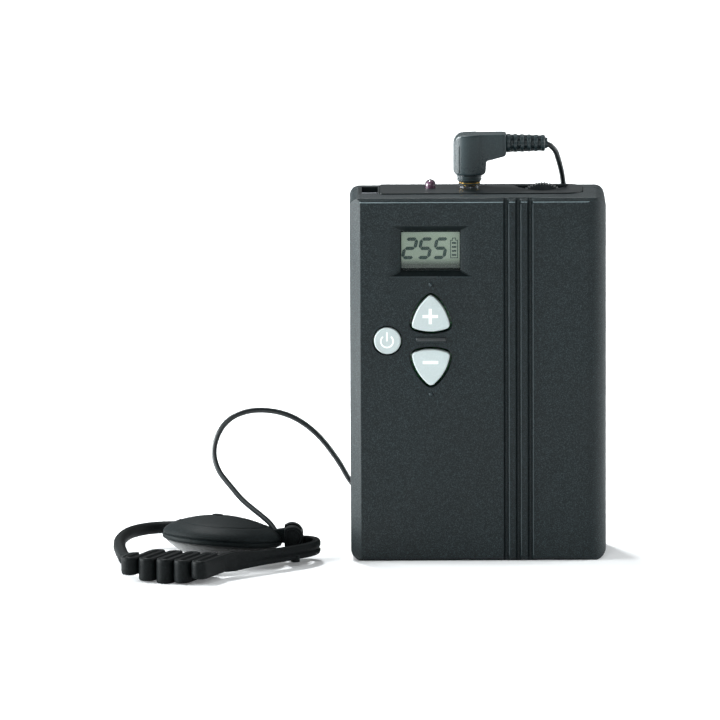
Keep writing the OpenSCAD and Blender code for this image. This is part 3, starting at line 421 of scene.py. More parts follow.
def coil_line():
    """Turns in layers: out to in, up, in to out; a change of lane takes LANE_CHANGE degrees."""
    radius = []
    height = []
    lane = 0
    layer = 0
    inward = 1
    shift_at = FIRST_CHANGE_AT
    turn = 0
    while True:
        at = turn % 360
        if lane == 0 and layer == len(COIL_LAYERS) - 1 and at == COIL_LEAVES_AT:
            break
        radius.append(COIL_LANES[lane])
        height.append(COIL_LAYERS[layer])
        ends = lane + inward not in range(len(COIL_LANES))
        start = (shift_at - LANE_CHANGE) % 360 if ends else shift_at % 360
        if at == start // COIL_STEP * COIL_STEP and turn:
            steps = LANE_CHANGE // COIL_STEP + 1
            for k in range(1, steps + 1):
                part = k / steps
                if ends:
                    rise = COIL_LAYERS[layer + 1] - COIL_LAYERS[layer]
                    radius.append(COIL_LANES[lane])
                    height.append(COIL_LAYERS[layer] + rise * part)
                else:
                    across = COIL_LANES[lane + inward] - COIL_LANES[lane]
                    radius.append(COIL_LANES[lane] + across * part)
                    height.append(COIL_LAYERS[layer])
            turn += COIL_STEP * (steps + 1)
            if ends:
                layer += 1
                inward = -inward
                shift_at -= 90
            else:
                lane += inward
        else:
            turn += COIL_STEP
    line = []
    for i, (r, z) in enumerate(zip(radius, height)):
        near = [radius[j] for j in (i - 1, i, i + 1) if 0 <= j < len(radius)]
        level = [height[j] for j in (i - 1, i, i + 1) if 0 <= j < len(height)]
        w = math.radians(i * COIL_STEP)
        r = sum(near) / len(near)
        line.append((COIL_MIDDLE[0] + r * math.cos(w), COIL_MIDDLE[1] + r * math.sin(w),
                     sum(level) / len(level)))
    return line


def cut_cord():
    """One cord: down behind the case, through the coil and up into the earphone."""
    wound = coil_line()
    line = (smooth_line(DROP_ROUTE + [wound[0]], 4)[:-1] + wound
            + smooth_line([wound[-1]] + ARCH_ROUTE, 4)[1:])
    piece = strung("earphone_cord", line, CORD_ACROSS / 2, 5)
    length = sum(math.dist(a, b) for a, b in zip(line, line[1:])) * MM
    return piece, length, [c * MM for c in line[0]]


# ---- finishes ----


def shade(red, green, blue):
    """A colour as a screen shows it, 0 to 255, in the linear values that a material takes."""
    out = []
    for value in (red, green, blue):
        v = value / 255
        out.append(v / 12.92 if v <= 0.04045 else ((v + 0.055) / 1.055) ** 2.4)
    return (*out, 1.0)


def new_group(name, inputs, outputs):
    """An empty shader node group with named sockets."""
    group = bpy.data.node_groups.new(name, "ShaderNodeTree")
    kinds = {"colour": "NodeSocketColor", "value": "NodeSocketFloat", "vector": "NodeSocketVector"}
    for label, kind, start in inputs:
        socket = group.interface.new_socket(label, in_out="INPUT", socket_type=kinds[kind])
        if start is not None:
            socket.default_value = start
    for label, kind in outputs:
        group.interface.new_socket(label, in_out="OUTPUT", socket_type=kinds[kind])
    return group, group.nodes.new("NodeGroupInput"), group.nodes.new("NodeGroupOutput")


def give(tree, node, links):
    """Sets a node's inputs, each to a value or to a socket to join."""
    for key, value in links.items():
        if isinstance(value, bpy.types.NodeSocket):
            tree.links.new(value, node.inputs[key])
        else:
            node.inputs[key].default_value = value
    return node


def place_node(tree, kind, links=None, **settings):
    """A node with its settings, and its inputs as values or as sockets to join."""
    node = tree.nodes.new(kind)
    for key, value in settings.items():
        setattr(node, key, value)
    return give(tree, node, links or {})


def own_place(tree):
    """Where a point lies on its object."""
    return place_node(tree, "ShaderNodeTexCoord").outputs["Object"]


def figured(tree, operation, a, b=0.5, clamp=False):
    """A sum on one or two values."""
    node = place_node(tree, "ShaderNodeMath", {0: a, 1: b}, operation=operation, use_clamp=clamp)
    return node.outputs[0]


def stepped(tree, value, low, high, bottom=0.0, top=1.0):
    """A value moved from one range to another."""
    node = place_node(tree, "ShaderNodeMapRange",
                      {"Value": value, "From Min": low, "From Max": high,
                                                   "To Min": bottom, "To Max": top})
    return node.outputs["Result"]


def tinted(tree, factor, a, b, blend="MIX"):
    """Two colours mixed."""
    node = place_node(tree, "ShaderNodeMix", {0: factor, 6: a, 7: b}, data_type="RGBA",
                      blend_type=blend)
    return node.outputs[2]


def spotted(tree, place, scale, detail=2.0, roughness=0.5):
    """Soft noise at so many spots to the metre."""
    node = place_node(tree, "ShaderNodeTexNoise",
                      {"Vector": place, "Scale": scale, "Detail": detail,
                                                   "Roughness": roughness})
    return node.outputs["Fac"]


def make_grain():
    """Fine texture of a moulded or cast surface, with lighter crests and slow changes of tone."""
    group, given, out = new_group(
        "moulded grain",
        [("Colour", "colour", (0.05, 0.05, 0.05, 1)), ("Crests", "colour", (0.1, 0.1, 0.1, 1)),
         ("Spots per metre", "value", 2600.0), ("Crest strength", "value", 0.4),
         ("Gloss", "value", 0.5)],
        [("Colour", "colour"), ("Roughness", "value"), ("Height", "value")])
    place = own_place(group)
    fine = spotted(group, place, given.outputs["Spots per metre"], 3.0, 0.6)
    wide = spotted(group, place, 38.0, 3.0, 0.55)
    crest = stepped(group, fine, 0.48, 0.66)
    drift = stepped(group, wide, 0.3, 0.7, 0.9, 1.12)
    colour = tinted(group, figured(group, "MULTIPLY", crest, given.outputs["Crest strength"]),
                    given.outputs["Colour"], given.outputs["Crests"])
    toned = place_node(group, "ShaderNodeHueSaturation", {"Color": colour, "Value": drift})
    group.links.new(toned.outputs["Color"], out.inputs["Colour"])
    rough = figured(group, "ADD", given.outputs["Gloss"],
                    stepped(group, wide, 0.35, 0.7, -0.05, 0.06))
    rough = figured(group, "ADD", rough, stepped(group, fine, 0.4, 0.7, -0.03, 0.05), True)
    group.links.new(rough, out.inputs["Roughness"])
    group.links.new(fine, out.inputs["Height"])
    return group


def make_handling():
    """Faint wiped marks and dust from use, over any finish."""
    group, given, out = new_group(
        "handling", [("Colour", "colour", (0.5, 0.5, 0.5, 1)), ("Roughness", "value", 0.4),
         ("Amount", "value", 0.4)],
        [("Colour", "colour"), ("Roughness", "value")])
    place = own_place(group)
    drawn_out = place_node(group, "ShaderNodeMapping", {"Vector": place, "Scale": (1.0, 1.0, 0.35),
                                                        "Rotation": (0.3, 0.5, 0.2)})
    wiped = stepped(group, spotted(group, drawn_out.outputs["Vector"], 120.0, 5.0, 0.62), 0.56,
                    0.75)
    speck = place_node(group, "ShaderNodeTexVoronoi",
                       {"Vector": place, "Scale": 420.0, "Randomness": 1.0})
    dust = stepped(group, speck.outputs["Distance"], 0.07, 0.03)
    dust = figured(group, "MULTIPLY", dust, stepped(group, spotted(group, place, 55.0), 0.5, 0.68))
    mark = figured(group, "MULTIPLY", figured(group, "ADD", figured(group, "MULTIPLY", wiped, 0.03),
                                              figured(group, "MULTIPLY", dust, 0.2)),
                   given.outputs["Amount"], True)
    group.links.new(tinted(group, mark, given.outputs["Colour"], (0.42, 0.42, 0.41, 1)),
                    out.inputs["Colour"])
    change = figured(group, "MULTIPLY", figured(group, "SUBTRACT", wiped, 0.3), 0.22)
    change = figured(group, "MULTIPLY", change, given.outputs["Amount"])
    group.links.new(figured(group, "ADD", given.outputs["Roughness"], change, True),
                    out.inputs["Roughness"])
    return group


def make_drawn_metal():
    """Fine lines left by rolling, turning or drawing, along one axis of the object."""
    group, given, out = new_group(
        "drawn metal",
        [("Colour", "colour", (0.6, 0.6, 0.6, 1)), ("Stretch", "vector", (1.0, 1.0, 0.03)),
         ("Gloss", "value", 0.3)],
        [("Colour", "colour"), ("Roughness", "value"), ("Height", "value")])
    place = own_place(group)
    pulled = place_node(group, "ShaderNodeVectorMath", {0: place, 1: given.outputs["Stretch"]},
                        operation="MULTIPLY")
    lines = spotted(group, pulled.outputs["Vector"], 6500.0, 3.0, 0.6)
    stain = spotted(group, place, 300.0, 3.0, 0.6)
    tone = figured(group, "MULTIPLY", stepped(group, lines, 0.3, 0.7, 0.86, 1.08),
                   stepped(group, stain, 0.4, 0.7, 1.03, 0.88))
    shaded = place_node(group, "ShaderNodeHueSaturation",
                        {"Color": given.outputs["Colour"], "Value": tone})
    group.links.new(shaded.outputs["Color"], out.inputs["Colour"])
    rough = figured(group, "ADD", given.outputs["Gloss"],
                    stepped(group, stain, 0.35, 0.7, -0.04, 0.14), True)
    group.links.new(rough, out.inputs["Roughness"])
    group.links.new(lines, out.inputs["Height"])
    return group


GRAIN = make_grain()
HANDLING = make_handling()
DRAWN_METAL = make_drawn_metal()


def new_finish(name):
    """A material with its shader and an empty tree."""
    finish = bpy.data.materials.new(name)
    finish.use_nodes = True
    tree = finish.node_tree
    return finish, tree, tree.nodes["Principled BSDF"]


def raised(tree, shader, height, strength, depth):
    """A bump from a height, by so many mm."""
    bump = place_node(tree, "ShaderNodeBump",
                      {"Strength": strength, "Distance": depth * MM, "Height": height})
    tree.links.new(bump.outputs["Normal"], shader.inputs["Normal"])


COAT_ROUGH = 0.25


def wear(tree, shader, colour, roughness, amount=0.4):
    """Marks of use over a colour and a roughness, on their way to the shader."""
    worn = place_node(tree, "ShaderNodeGroup",
                      {"Colour": colour, "Roughness": roughness, "Amount": amount},
                      node_tree=HANDLING)
    give(tree, shader,
         {"Base Color": worn.outputs["Colour"], "Roughness": worn.outputs["Roughness"]})


def plastic(name, colour, crests, spots=2600.0, strength=0.4, gloss=0.45, bump=0.5, depth=0.05,
            used=0.5, coat=0.0, shine=0.5):
    """Moulded plastic or rubber: grain, then marks of use. Colours are as a screen shows them."""
    finish, tree, shader = new_finish(name)
    grain = place_node(tree, "ShaderNodeGroup",
                       {"Colour": shade(*colour), "Crests": shade(*crests),
                        "Spots per metre": spots, "Crest strength": strength, "Gloss": gloss},
                       node_tree=GRAIN)
    wear(tree, shader, grain.outputs["Colour"], grain.outputs["Roughness"], used)
    raised(tree, shader, grain.outputs["Height"], bump, depth)
    give(tree, shader,
         {"Coat Weight": coat, "Coat Roughness": COAT_ROUGH, "Specular IOR Level": shine})
    return finish


def metal(name, colour, stretch=(1.0, 1.0, 0.03), gloss=0.3, used=0.3, depth=0.01):
    """Bare metal with drawn lines and slight stains."""
    finish, tree, shader = new_finish(name)
    lines = place_node(tree, "ShaderNodeGroup",
                       {"Colour": shade(*colour), "Stretch": stretch, "Gloss": gloss},
                       node_tree=DRAWN_METAL)
    wear(tree, shader, lines.outputs["Colour"], lines.outputs["Roughness"], used)
    raised(tree, shader, lines.outputs["Height"], 0.4, depth)
    shader.inputs["Metallic"].default_value = 1.0
    return finish


def clear(name, colour, rough=0.03, ior=1.49):
    """Clear moulded plastic or glass that lets the light through to what is behind it."""
    finish, tree, shader = new_finish(name)
    place = own_place(tree)
    haze = stepped(tree, spotted(tree, place, 160.0, 4.0), 0.45, 0.75, rough, rough + 0.09)
    give(tree, shader, {"Base Color": colour, "Transmission Weight": 1.0, "IOR": ior,
                        "Roughness": haze})
    through = place_node(tree, "ShaderNodeBsdfTransparent", {"Color": colour})
    path = place_node(tree, "ShaderNodeLightPath")
    mix = place_node(tree, "ShaderNodeMixShader",
                     {0: path.outputs["Is Shadow Ray"], 1: shader.outputs["BSDF"],
                                                   2: through.outputs["BSDF"]})
    tree.links.new(mix.outputs["Shader"], tree.nodes["Material Output"].inputs["Surface"])
    return finish


def thin_clear(name, colour, least, most):
    """A thin clear cover: mostly seen through, with a faint haze that differs from spot to spot."""
    finish, tree, shader = new_finish(name)
    place = own_place(tree)
    haze = spotted(tree, place, 160.0, 4.0)
    give(tree, shader, {"Base Color": colour, "Alpha": stepped(tree, haze, 0.45, 0.75, least, most),
                        "Roughness": stepped(tree, haze, 0.45, 0.75, 0.05, 0.14)})
    return finish


def banded(name, bands, axis, gloss, metallic=0.0):
    """Rings of colour along an axis: each band is its end, in mm, and its colour."""
    finish, tree, shader = new_finish(name)
    place = own_place(tree)
    along = place_node(tree, "ShaderNodeSeparateXYZ", {"Vector": place}).outputs[axis]
    colour = place_node(tree, "ShaderNodeRGB")
    colour.outputs[0].default_value = bands[0][1]
    last = colour.outputs[0]
    for (end, _), (_, tint) in zip(bands, bands[1:]):
        past = figured(tree, "GREATER_THAN", along, end * MM)
        last = tinted(tree, past, last, tint)
    wear(tree, shader, last, gloss)
    give(tree, shader, {"Metallic": metallic, "Coat Weight": 0.4})
    return finish


def circuit(name, colour, track):
    """Board lacquer over copper tracks: straight runs and round pads."""
    finish, tree, shader = new_finish(name)
    place = own_place(tree)
    flat = place_node(tree, "ShaderNodeMapping", {"Vector": place, "Rotation": (math.pi / 2, 0, 0)})
    runs = place_node(tree, "ShaderNodeTexBrick",
                      {"Vector": flat.outputs["Vector"], "Scale": 110.0, "Mortar Size": 0.035,
                       "Mortar Smooth": 0.3, "Brick Width": 0.9, "Row Height": 0.16})
    pads = place_node(tree, "ShaderNodeTexVoronoi",
                      {"Vector": place, "Scale": 330.0, "Randomness": 0.85})
    pad = stepped(tree, pads.outputs["Distance"], 0.2, 0.16)
    raised_part = figured(tree, "MAXIMUM", figured(tree, "MULTIPLY", runs.outputs["Fac"], 0.7), pad)
    base = tinted(tree, raised_part, colour, track)
    wear(tree, shader, base, 0.33)
    raised(tree, shader, raised_part, 0.4, 0.03)
    shader.inputs["Coat Weight"].default_value = 0.3
    return finish


def foam(name, colour, dark):
    """Soft foam with small open cells."""
    finish, tree, shader = new_finish(name)
    place = own_place(tree)
    cells = place_node(tree, "ShaderNodeTexVoronoi",
                       {"Vector": place, "Scale": 1500.0, "Randomness": 1.0})
    open_cell = stepped(tree, cells.outputs["Distance"], 0.15, 0.5)
    drift = stepped(tree, spotted(tree, place, 140.0, 3.0), 0.35, 0.7, 0.9, 1.08)
    base = place_node(tree, "ShaderNodeHueSaturation",
                      {"Color": tinted(tree, open_cell, dark, colour),
                                                        "Value": drift})
    wear(tree, shader, base.outputs["Color"], 0.9)
    raised(tree, shader, open_cell, 0.6, 0.12)
    shader.inputs["Sheen Weight"].default_value = 0.3
    return finish


CASE_PLASTIC = plastic("textured case plastic", (7, 17, 19), (80, 98, 103), 4800, 0.26, 0.48, 0.8,
                       0.08, 0.25, shine=0.24)
# Painted shade: a darker, duller copy of the case plastic for the display recess's upper and lower
# faces, the window's sides and the frame round the display.
RECESS_SHADE_PLASTIC = plastic("case plastic with painted recess shade", (12, 19, 20), (34, 42, 44), 3300, 0.3, 0.5, 0.3,
                         0.03, shine=0.08)
PANEL_PLASTIC = plastic("satin panel plastic", (9, 18, 20), (34, 45, 48), 4200, 0.3, 0.5, 0.25,
                        0.03, shine=0.2)
KEY_PLASTIC = plastic("pale grey key plastic", (176, 187, 187), (206, 214, 214), 3000, 0.18, 0.42,
                      0.25, 0.03, 0.3)
PRINT_WHITE = plastic("white print", (243, 245, 244), (255, 255, 255), 5200, 0.2, 0.6, 0.2, 0.01,
                      0.15)
INNER_BLACK = plastic("plain black moulding", (18, 20, 21), (38, 41, 43), 3000, 0.25, 0.45, 0.3,
                      0.03, 0.3)
INNER_GREY = plastic("pale inner moulding", (158, 158, 150), (188, 188, 182), 3000, 0.2, 0.5, 0.3,
                     0.03)
# Painted highlight: a light plastic on the case's top front edge, standing in for a lamp's glint
# there.
EDGE_HIGHLIGHT_PLASTIC = plastic("case edge with painted highlight", (104, 120, 124), (150, 166, 170), 3300, 0.3, 0.3, 0.4,
                       0.02, 0.2, shine=0.6)
# Painted highlight: a lighter plastic on the rims of the grooves and of the display's surround,
# standing in for the light that catches them.
RIM_HIGHLIGHT_PLASTIC = plastic("groove rim with painted highlight", (40, 52, 55), (78, 92, 96), 3300, 0.3, 0.34, 0.4, 0.02,
                      0.2, shine=0.5)
WHEEL_PLASTIC = plastic("black wheel plastic", (22, 28, 30), (62, 70, 73), 3400, 0.3, 0.4, 0.3,
                        0.03, 0.6)
PLUG_PLASTIC = plastic("satin plug moulding", (32, 44, 47), (58, 72, 75), 3200, 0.3, 0.34, 0.22,
                       0.03, 0.45, shine=0.35)
CORD_SHEATH = plastic("black cord sheath", (24, 29, 31), (50, 56, 59), 4200, 0.2, 0.38, 0.2, 0.02,
                      0.5)
HOOK_RUBBER = plastic("soft hook rubber", (6, 9, 10), (46, 55, 57), 2600, 0.16, 0.6, 0.4, 0.04, 0.1,
                      shine=0.09)
POD_PLASTIC = plastic("earphone shell plastic", (3, 8, 9), (50, 62, 65), 3600, 0.26, 0.62, 0.6,
                      0.06, 0.1, shine=0.1)
FOOT_RUBBER = plastic("foot rubber", (26, 26, 27), (52, 52, 53), 1800, 0.4, 0.8, 0.6, 0.08, 0.6)
PAD_FOAM = foam("ear cushion foam", shade(24, 27, 28), shade(11, 13, 14))
DRIVER_CLOTH = foam("speaker cloth", shade(60, 61, 63), shade(20, 20, 21))
BOARD = circuit("green board lacquer", shade(16, 78, 46), shade(52, 128, 76))
TIN = metal("tinned sheet", (196, 197, 192), (1.0, 1.0, 0.05), 0.34)
SPRING_STEEL = metal("plated spring steel", (205, 205, 200), (0.05, 1.0, 1.0), 0.24)
SCREW_STEEL = metal("blackened screw steel", (112, 114, 117), (1.0, 0.05, 1.0), 0.38)
BAR_STEEL = metal("drawn bar steel", (104, 108, 112), (0.03, 1.0, 1.0), 0.3)
NUT_CHROME = metal("bright nut plating", (150, 153, 156), (1.0, 1.0, 0.2), 0.2, 0.2)
COPPER = metal("copper wire", (196, 130, 84), (1.0, 0.05, 1.0), 0.28)
PLUG_GOLD = metal("gold plating", (222, 178, 92), (1.0, 1.0, 0.06), 0.18, 0.2)
WINDOW_CLEAR = thin_clear("display window", (0.3, 0.34, 0.32, 1), 0.02, 0.04)
LAMP_CLEAR = clear("clear lamp lens", (0.82, 0.72, 0.78, 1), 0.04, 1.5)


def make_display():
    """The display's pale backing: a faint grid, soft clouds and painted shade that darkens it
    towards its foot.
    """
    finish, tree, shader = new_finish("display backing")
    place = own_place(tree)
    parts = place_node(tree, "ShaderNodeSeparateXYZ", {"Vector": place})
    rows = figured(tree, "SINE", figured(tree, "MULTIPLY", parts.outputs["Z"], 9000.0))
    columns = figured(tree, "SINE", figured(tree, "MULTIPLY", parts.outputs["X"], 9000.0))
    grid = stepped(tree, figured(tree, "MAXIMUM", rows, columns), 0.9, 1.0, 0.0, 0.08)
    cloud = stepped(tree, spotted(tree, place, 90.0, 2.0), 0.35, 0.7)
    base = tinted(tree, cloud, shade(122, 137, 121), shade(134, 149, 132))
    base = tinted(tree, grid, base, shade(106, 119, 104))
    # Painted shade: the backing darkens towards its lower edge, where the recess shades the
    # display.
    foot = stepped(tree, parts.outputs["Z"], 81.9 * MM, 83.8 * MM, 0.9, 0.0)
    base = tinted(tree, foot, base, shade(34, 43, 40))
    tree.links.new(base, shader.inputs["Base Color"])
    rough = stepped(tree, cloud, 0.0, 1.0, 0.3, 0.4)
    tree.links.new(rough, shader.inputs["Roughness"])
    raised(tree, shader, grid, 0.15, 0.01)
    return finish


DISPLAY_BACKING = make_display()
DIGIT_INK = plastic("display digits", (46, 60, 57), (56, 70, 67), 4000, 0.2, 0.5, 0.1, 0.01, 0.1,
                    shine=0.1)
# Painted shade: a dark pink core that fills the clear lens, so that the lamp shows dark with its
# pink tint.
LAMP_CORE_SHADE = plastic("lamp core with painted shade", (74, 48, 66), (150, 112, 140), 6000, 0.4, 0.3, 0.2, 0.02, 0.1, 0.3)

cord_piece, cord_length, cord_start = cut_cord()
cord_piece.data.materials.append(CORD_SHEATH)
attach(cord_piece, "earphone")
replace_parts(cord_piece, "cord_drop", "cord_coil", "cord_arch")


# ---- the case ----


INSIDE_X = 33.5
INSIDE_Y = (-11.3, 10.9)
INSIDE_Z = (1.5, 99)


def inside_case(c):
    """Whether a point in mm lies on the inner side of the shells, where nothing is rounded."""
    return (abs(c.x) < INSIDE_X and INSIDE_Z[0] < c.z < INSIDE_Z[1]
            and INSIDE_Y[0] < c.y < INSIDE_Y[1])


case_front = dressed("front_shell", "case_front", 0.22, CASE_PLASTIC, "case_black",
                     left_sharp=inside_case)
case_back = dressed("back_shell", "case_back", 0.22, CASE_PLASTIC, "case_black",
                    left_sharp=inside_case)
top_plate = dressed("top_panel", "top_plate", 0.12, PANEL_PLASTIC, "panel_black")
for row in (
    ("battery_door", "cell_door", 0.1, CASE_PLASTIC, "case_black", "door"),
    ("foot_pads", "feet", 0.12, FOOT_RUBBER, "foot_rubber"),
    ("lanyard_cup", "lanyard_pocket", 0.12, PANEL_PLASTIC, "panel_black"),
    ("lanyard_bar", "lanyard_pin", 0.08, BAR_STEEL, "bar_steel"),
    ("case_screws", "outer_screws", 0.1, SCREW_STEEL, "screw_steel"),
    ("board_screws", "board_fixings", 0.08, SCREW_STEEL, "screw_steel"),
    ("key_board_screws", "key_board_fixings", 0.08, SCREW_STEEL, "screw_steel")):
    dressed(*row)

SURROUND_X = (-22.2, -3.7)
front_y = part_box("front_shell")[0][1] / MM
kept_within(case_front, "front_shell")
kept_within(case_back, "back_shell")
RECESS, EDGE, RIM = 1, 2, 3
for extra in (RECESS_SHADE_PLASTIC, EDGE_HIGHLIGHT_PLASTIC, RIM_HIGHLIGHT_PLASTIC):
    case_front.data.materials.append(extra)
for face in case_front.data.polygons:
    c = face.center / MM
    inside = SURROUND_X[0] < c.x < SURROUND_X[1] and 77.5 < c.z < 94.5 and c.y > -13.02
    # Upper and lower faces of the display recess: painted shade.
    if inside and c.y < -11 and abs(face.normal.z) > 0.35 and face.normal.y < -0.2:
        face.material_index = RECESS
    # Rims round the display and along the grooves: painted highlight.
    elif (abs(c.x) < 29.5 and 77 < c.z < 99.0 and c.y < front_y + 0.3
          and -0.97 < face.normal.y < -0.2):
        face.material_index = RIM
    # The case's top front edge: painted highlight.
    elif c.z > 99.2 and c.y < -12.9 and face.normal.y < -0.2 and face.normal.z > 0.2:
        face.material_index = EDGE

GROOVE_X = 10.9
GROOVE_PITCH = 3.28
GROOVE_WIDE = 1.45
GROOVE_FOOT = 1.6
GROOVE_HEAD = 98.9
# Thin strips along each groove's right edge, made only to carry the painted highlight.
rims = []
for i in (-1, 0, 1):
    edge = GROOVE_X + i * GROOVE_PITCH + GROOVE_WIDE / 2
    outline = [(edge - 0.05, front_y + 0.1), (edge - 0.04, front_y - 0.03),
               (edge + 0.04, front_y - 0.08),
               (edge + 0.13, front_y - 0.07), (edge + 0.2, front_y + 0.05)]
    rims.append(drawn("groove_rim_highlights", outline, GROOVE_FOOT, GROOVE_HEAD, "Z"))
hand_over(finish_edges(joined("groove_rim_highlights", rims), 0), RIM_HIGHLIGHT_PLASTIC, "case_black", "receiver")

# ---- keys and their white signs ----

KEY_FACE_Y = -13.5
KEY_BACK_Y = -10.5
COLUMN_X = -12.95
KEY_REACH = 4.55
KEY_CORNER = 1.2
KEY_SIDE = 12.0
PLUS_Z = 68.0
MINUS_Z = 54.7
POWER_X = -24.8
POWER_Z = 61.3
POWER_R = 3.65


def bowed_triangle(x, z, up):
    """Outline of a key: a triangle with bowed sides and round corners, one at the angle up."""
    half = math.asin(KEY_REACH * math.sin(math.radians(60)) / KEY_SIDE)
    back = KEY_SIDE * math.cos(half) - KEY_REACH / 2
    outline = []
    for i in range(3):
        w = math.radians(up + 60 + 120 * i)
        for k in range(-6, 7):
            a = w + half * k / 6
            outline.append((x - back * math.cos(w) + (KEY_SIDE + KEY_CORNER) * math.cos(a),
                            z - back * math.sin(w) + (KEY_SIDE + KEY_CORNER) * math.sin(a)))
        tip = w + math.radians(60)
        for k in range(1, 8):
            a = w + half + (math.radians(120) - 2 * half) * k / 8
            outline.append((x + KEY_REACH * math.cos(tip) + KEY_CORNER * math.cos(a),
                            z + KEY_REACH * math.sin(tip) + KEY_CORNER * math.sin(a)))
    return outline


def key_cap(name, outline):
    """A key with soft rims at its face and back."""
    piece = drawn(name, outline, KEY_BACK_Y, KEY_FACE_Y)
    return finish_edges(piece, 0.4, 4, smooth=40)


def dressed_key(kind, outline):
    """The cap of a key, handed over in its node's place."""
    return hand_over(key_cap(kind + "_cap", outline), KEY_PLASTIC, "key_grey", kind + "_button",
                     kind + "_key")


power_ring = [(POWER_X + POWER_R * math.cos(math.radians(a)),
               POWER_Z + POWER_R * math.sin(math.radians(a)))
              for a in range(0, 360, 5)]
power_cap = dressed_key("power", power_ring)
plus_cap = dressed_key("plus", bowed_triangle(COLUMN_X, PLUS_Z, 90))
minus_cap = dressed_key("minus", bowed_triangle(COLUMN_X, MINUS_Z, 270))


def first_hit(x, y, *pieces):
    """Where the line of sight through a point of the photograph meets the pieces, in mm."""
    start, way = sight(x, y)
    graph = bpy.context.evaluated_depsgraph_get()
    hits = [BVHTree.FromObject(piece, graph).ray_cast(start, way) for piece in pieces]
    near = min((hit for hit in hits if hit[0] is not None), key=lambda hit: hit[3])
    return [c / MM for c in near[0]]


def sign_bar(name, middle, width, height, face, proud=0.05, deep=0.15):
    """A flat printed bar on a face that looks to the front."""
    x, z = middle
    piece = block(name, (x - width / 2, face - proud, z - height / 2),
                  (x + width / 2, face + deep, z + height / 2))
    open_up(piece)
    pick_faces(piece, lambda c, n: n.y < -0.9)
    bpy.ops.mesh.inset(thickness=0.06 * MM, depth=0)
    close_up()
    return finish_edges(piece, 0.04, 2)


LOWER_DOT = (430.9, 394.4)
x, y, z = first_hit(*POINTS["ridge between the keys"], case_front)
ridge = rod("key_ridge", (x, front_y + 0.3, z + 0.1), 0.66, 8.2, 40, "X")
hand_over(finish_edges(ridge, 0.3, 3), WHEEL_PLASTIC, "case_black", "receiver")
dot = turned("key_dot",
             [(0, -0.1), (0.52, -0.1), (0.5, 0.08), (0.38, 0.24), (0.2, 0.33), (0, 0.36)], 24)
dots = []
for px, py in (POINTS["upper dot"], LOWER_DOT):
    x, y, z = first_hit(px, py, case_front)
    dots.append(copied(dot, "key_dot", (x, y + 0.05, z), Matrix.Rotation(math.pi / 2, 4, "X")))
bpy.data.objects.remove(dot)
key_dots = hand_over(finish_edges(joined("key_dots", dots), 0), PLUG_PLASTIC, "case_black",
                     "receiver")

SIGN_LONG = 4.25
SIGN_THICK = 0.86
x, y, z = first_hit(*POINTS["plus print"], plus_cap)
plus_sign = joined("plus_sign", [sign_bar("plus_sign", (x, z), SIGN_LONG, SIGN_THICK, y),
                                 sign_bar("plus_upright", (x, z), SIGN_THICK, SIGN_LONG, y, 0.052)])
hand_over(plus_sign, PRINT_WHITE, "key_grey", "plus_button")
x, y, z = first_hit(*POINTS["minus print"], minus_cap)
minus_sign = hand_over(sign_bar("minus_sign", (x, z), SIGN_LONG, SIGN_THICK, y), PRINT_WHITE,
                       "key_grey", "minus_button")


def ring_part(name, middle, radius, width, gap, face, proud=0.05, deep=0.15):
    """An open ring printed on a face that looks to the front; the gap is at its top, in degrees."""
    x, z = middle
    half = width / 2
    corners = [(radius - half, -proud), (radius + half, -proud), (radius + half, deep),
               (radius - half, deep)]
    turn = math.radians(gap / 2)
    piece = meshed(name, [((x + r * math.sin(turn)) * MM, (face + d) * MM,
                           (z + r * math.cos(turn)) * MM) for r, d in corners], [], [(0, 1, 2, 3)])
    open_up(piece)
    bpy.ops.mesh.select_all(action="SELECT")
    bpy.ops.mesh.spin(steps=40, angle=2 * turn - 2 * math.pi, center=(x * MM, face * MM, z * MM),
                      axis=(0, 1, 0), use_normal_flip=False)
    close_outward(merge=True)
    return finish_edges(piece, 0.04, 2)


x, y, z = first_hit(*POINTS["power print"], power_cap)
power_sign = joined("power_sign", [ring_part("power_sign", (x, z), 1.68, 0.42, 78, y),
                                   sign_bar("power_upright", (x, z + 1.25), 0.44, 2.5, y)])
hand_over(power_sign, PRINT_WHITE, "key_grey", "power_button")

# ---- display ----

display = softened("lcd_module", "display", 0.12)
hand_over(display, DISPLAY_BACKING, "display", "receiver", "lcd_module")
display_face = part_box("lcd_module")[0][1] / MM
window = softened("lcd_window", "display_cover", 0.05)
open_up(window)
pick_faces(window, lambda c, n: n.y > 0.9)
bpy.ops.transform.translate(value=(0, -0.14 * MM, 0))
close_up()
hand_over(window, WINDOW_CLEAR, "window", "receiver", "lcd_window")
# The window's sides take the darker plastic: painted shade in place of clear edges.
window.data.materials.append(RECESS_SHADE_PLASTIC)
for face in window.data.polygons:
    if abs(face.normal.y) < 0.9:
        face.material_index = 1

DIGIT_SLANT = 0.2
DIGIT_HALF = 2.55
DIGIT_WIDE = 2.84
DIGIT_STEP = 4.18
DIGIT_FIRST = (-18.6, 86.35)
SEGMENT_THICK = 0.92
# The parts that each digit lights: top, upper right, lower right, bottom, lower left,
# upper left, middle
DIGIT_PARTS = ((1, 1, 0, 1, 1, 0, 1), (1, 0, 1, 1, 0, 1, 1), (1, 0, 1, 1, 0, 1, 1))


def segment(name, length):
    """One part of a digit lying along x, with pointed ends, on the display's face."""
    a = length / 2
    b = SEGMENT_THICK / 2
    outline = [(-a, 0), (-a + b, -b), (a - b, -b), (a, 0), (a - b, b), (-a + b, b)]
    return drawn(name, outline, display_face - 0.11, display_face + 0.02)


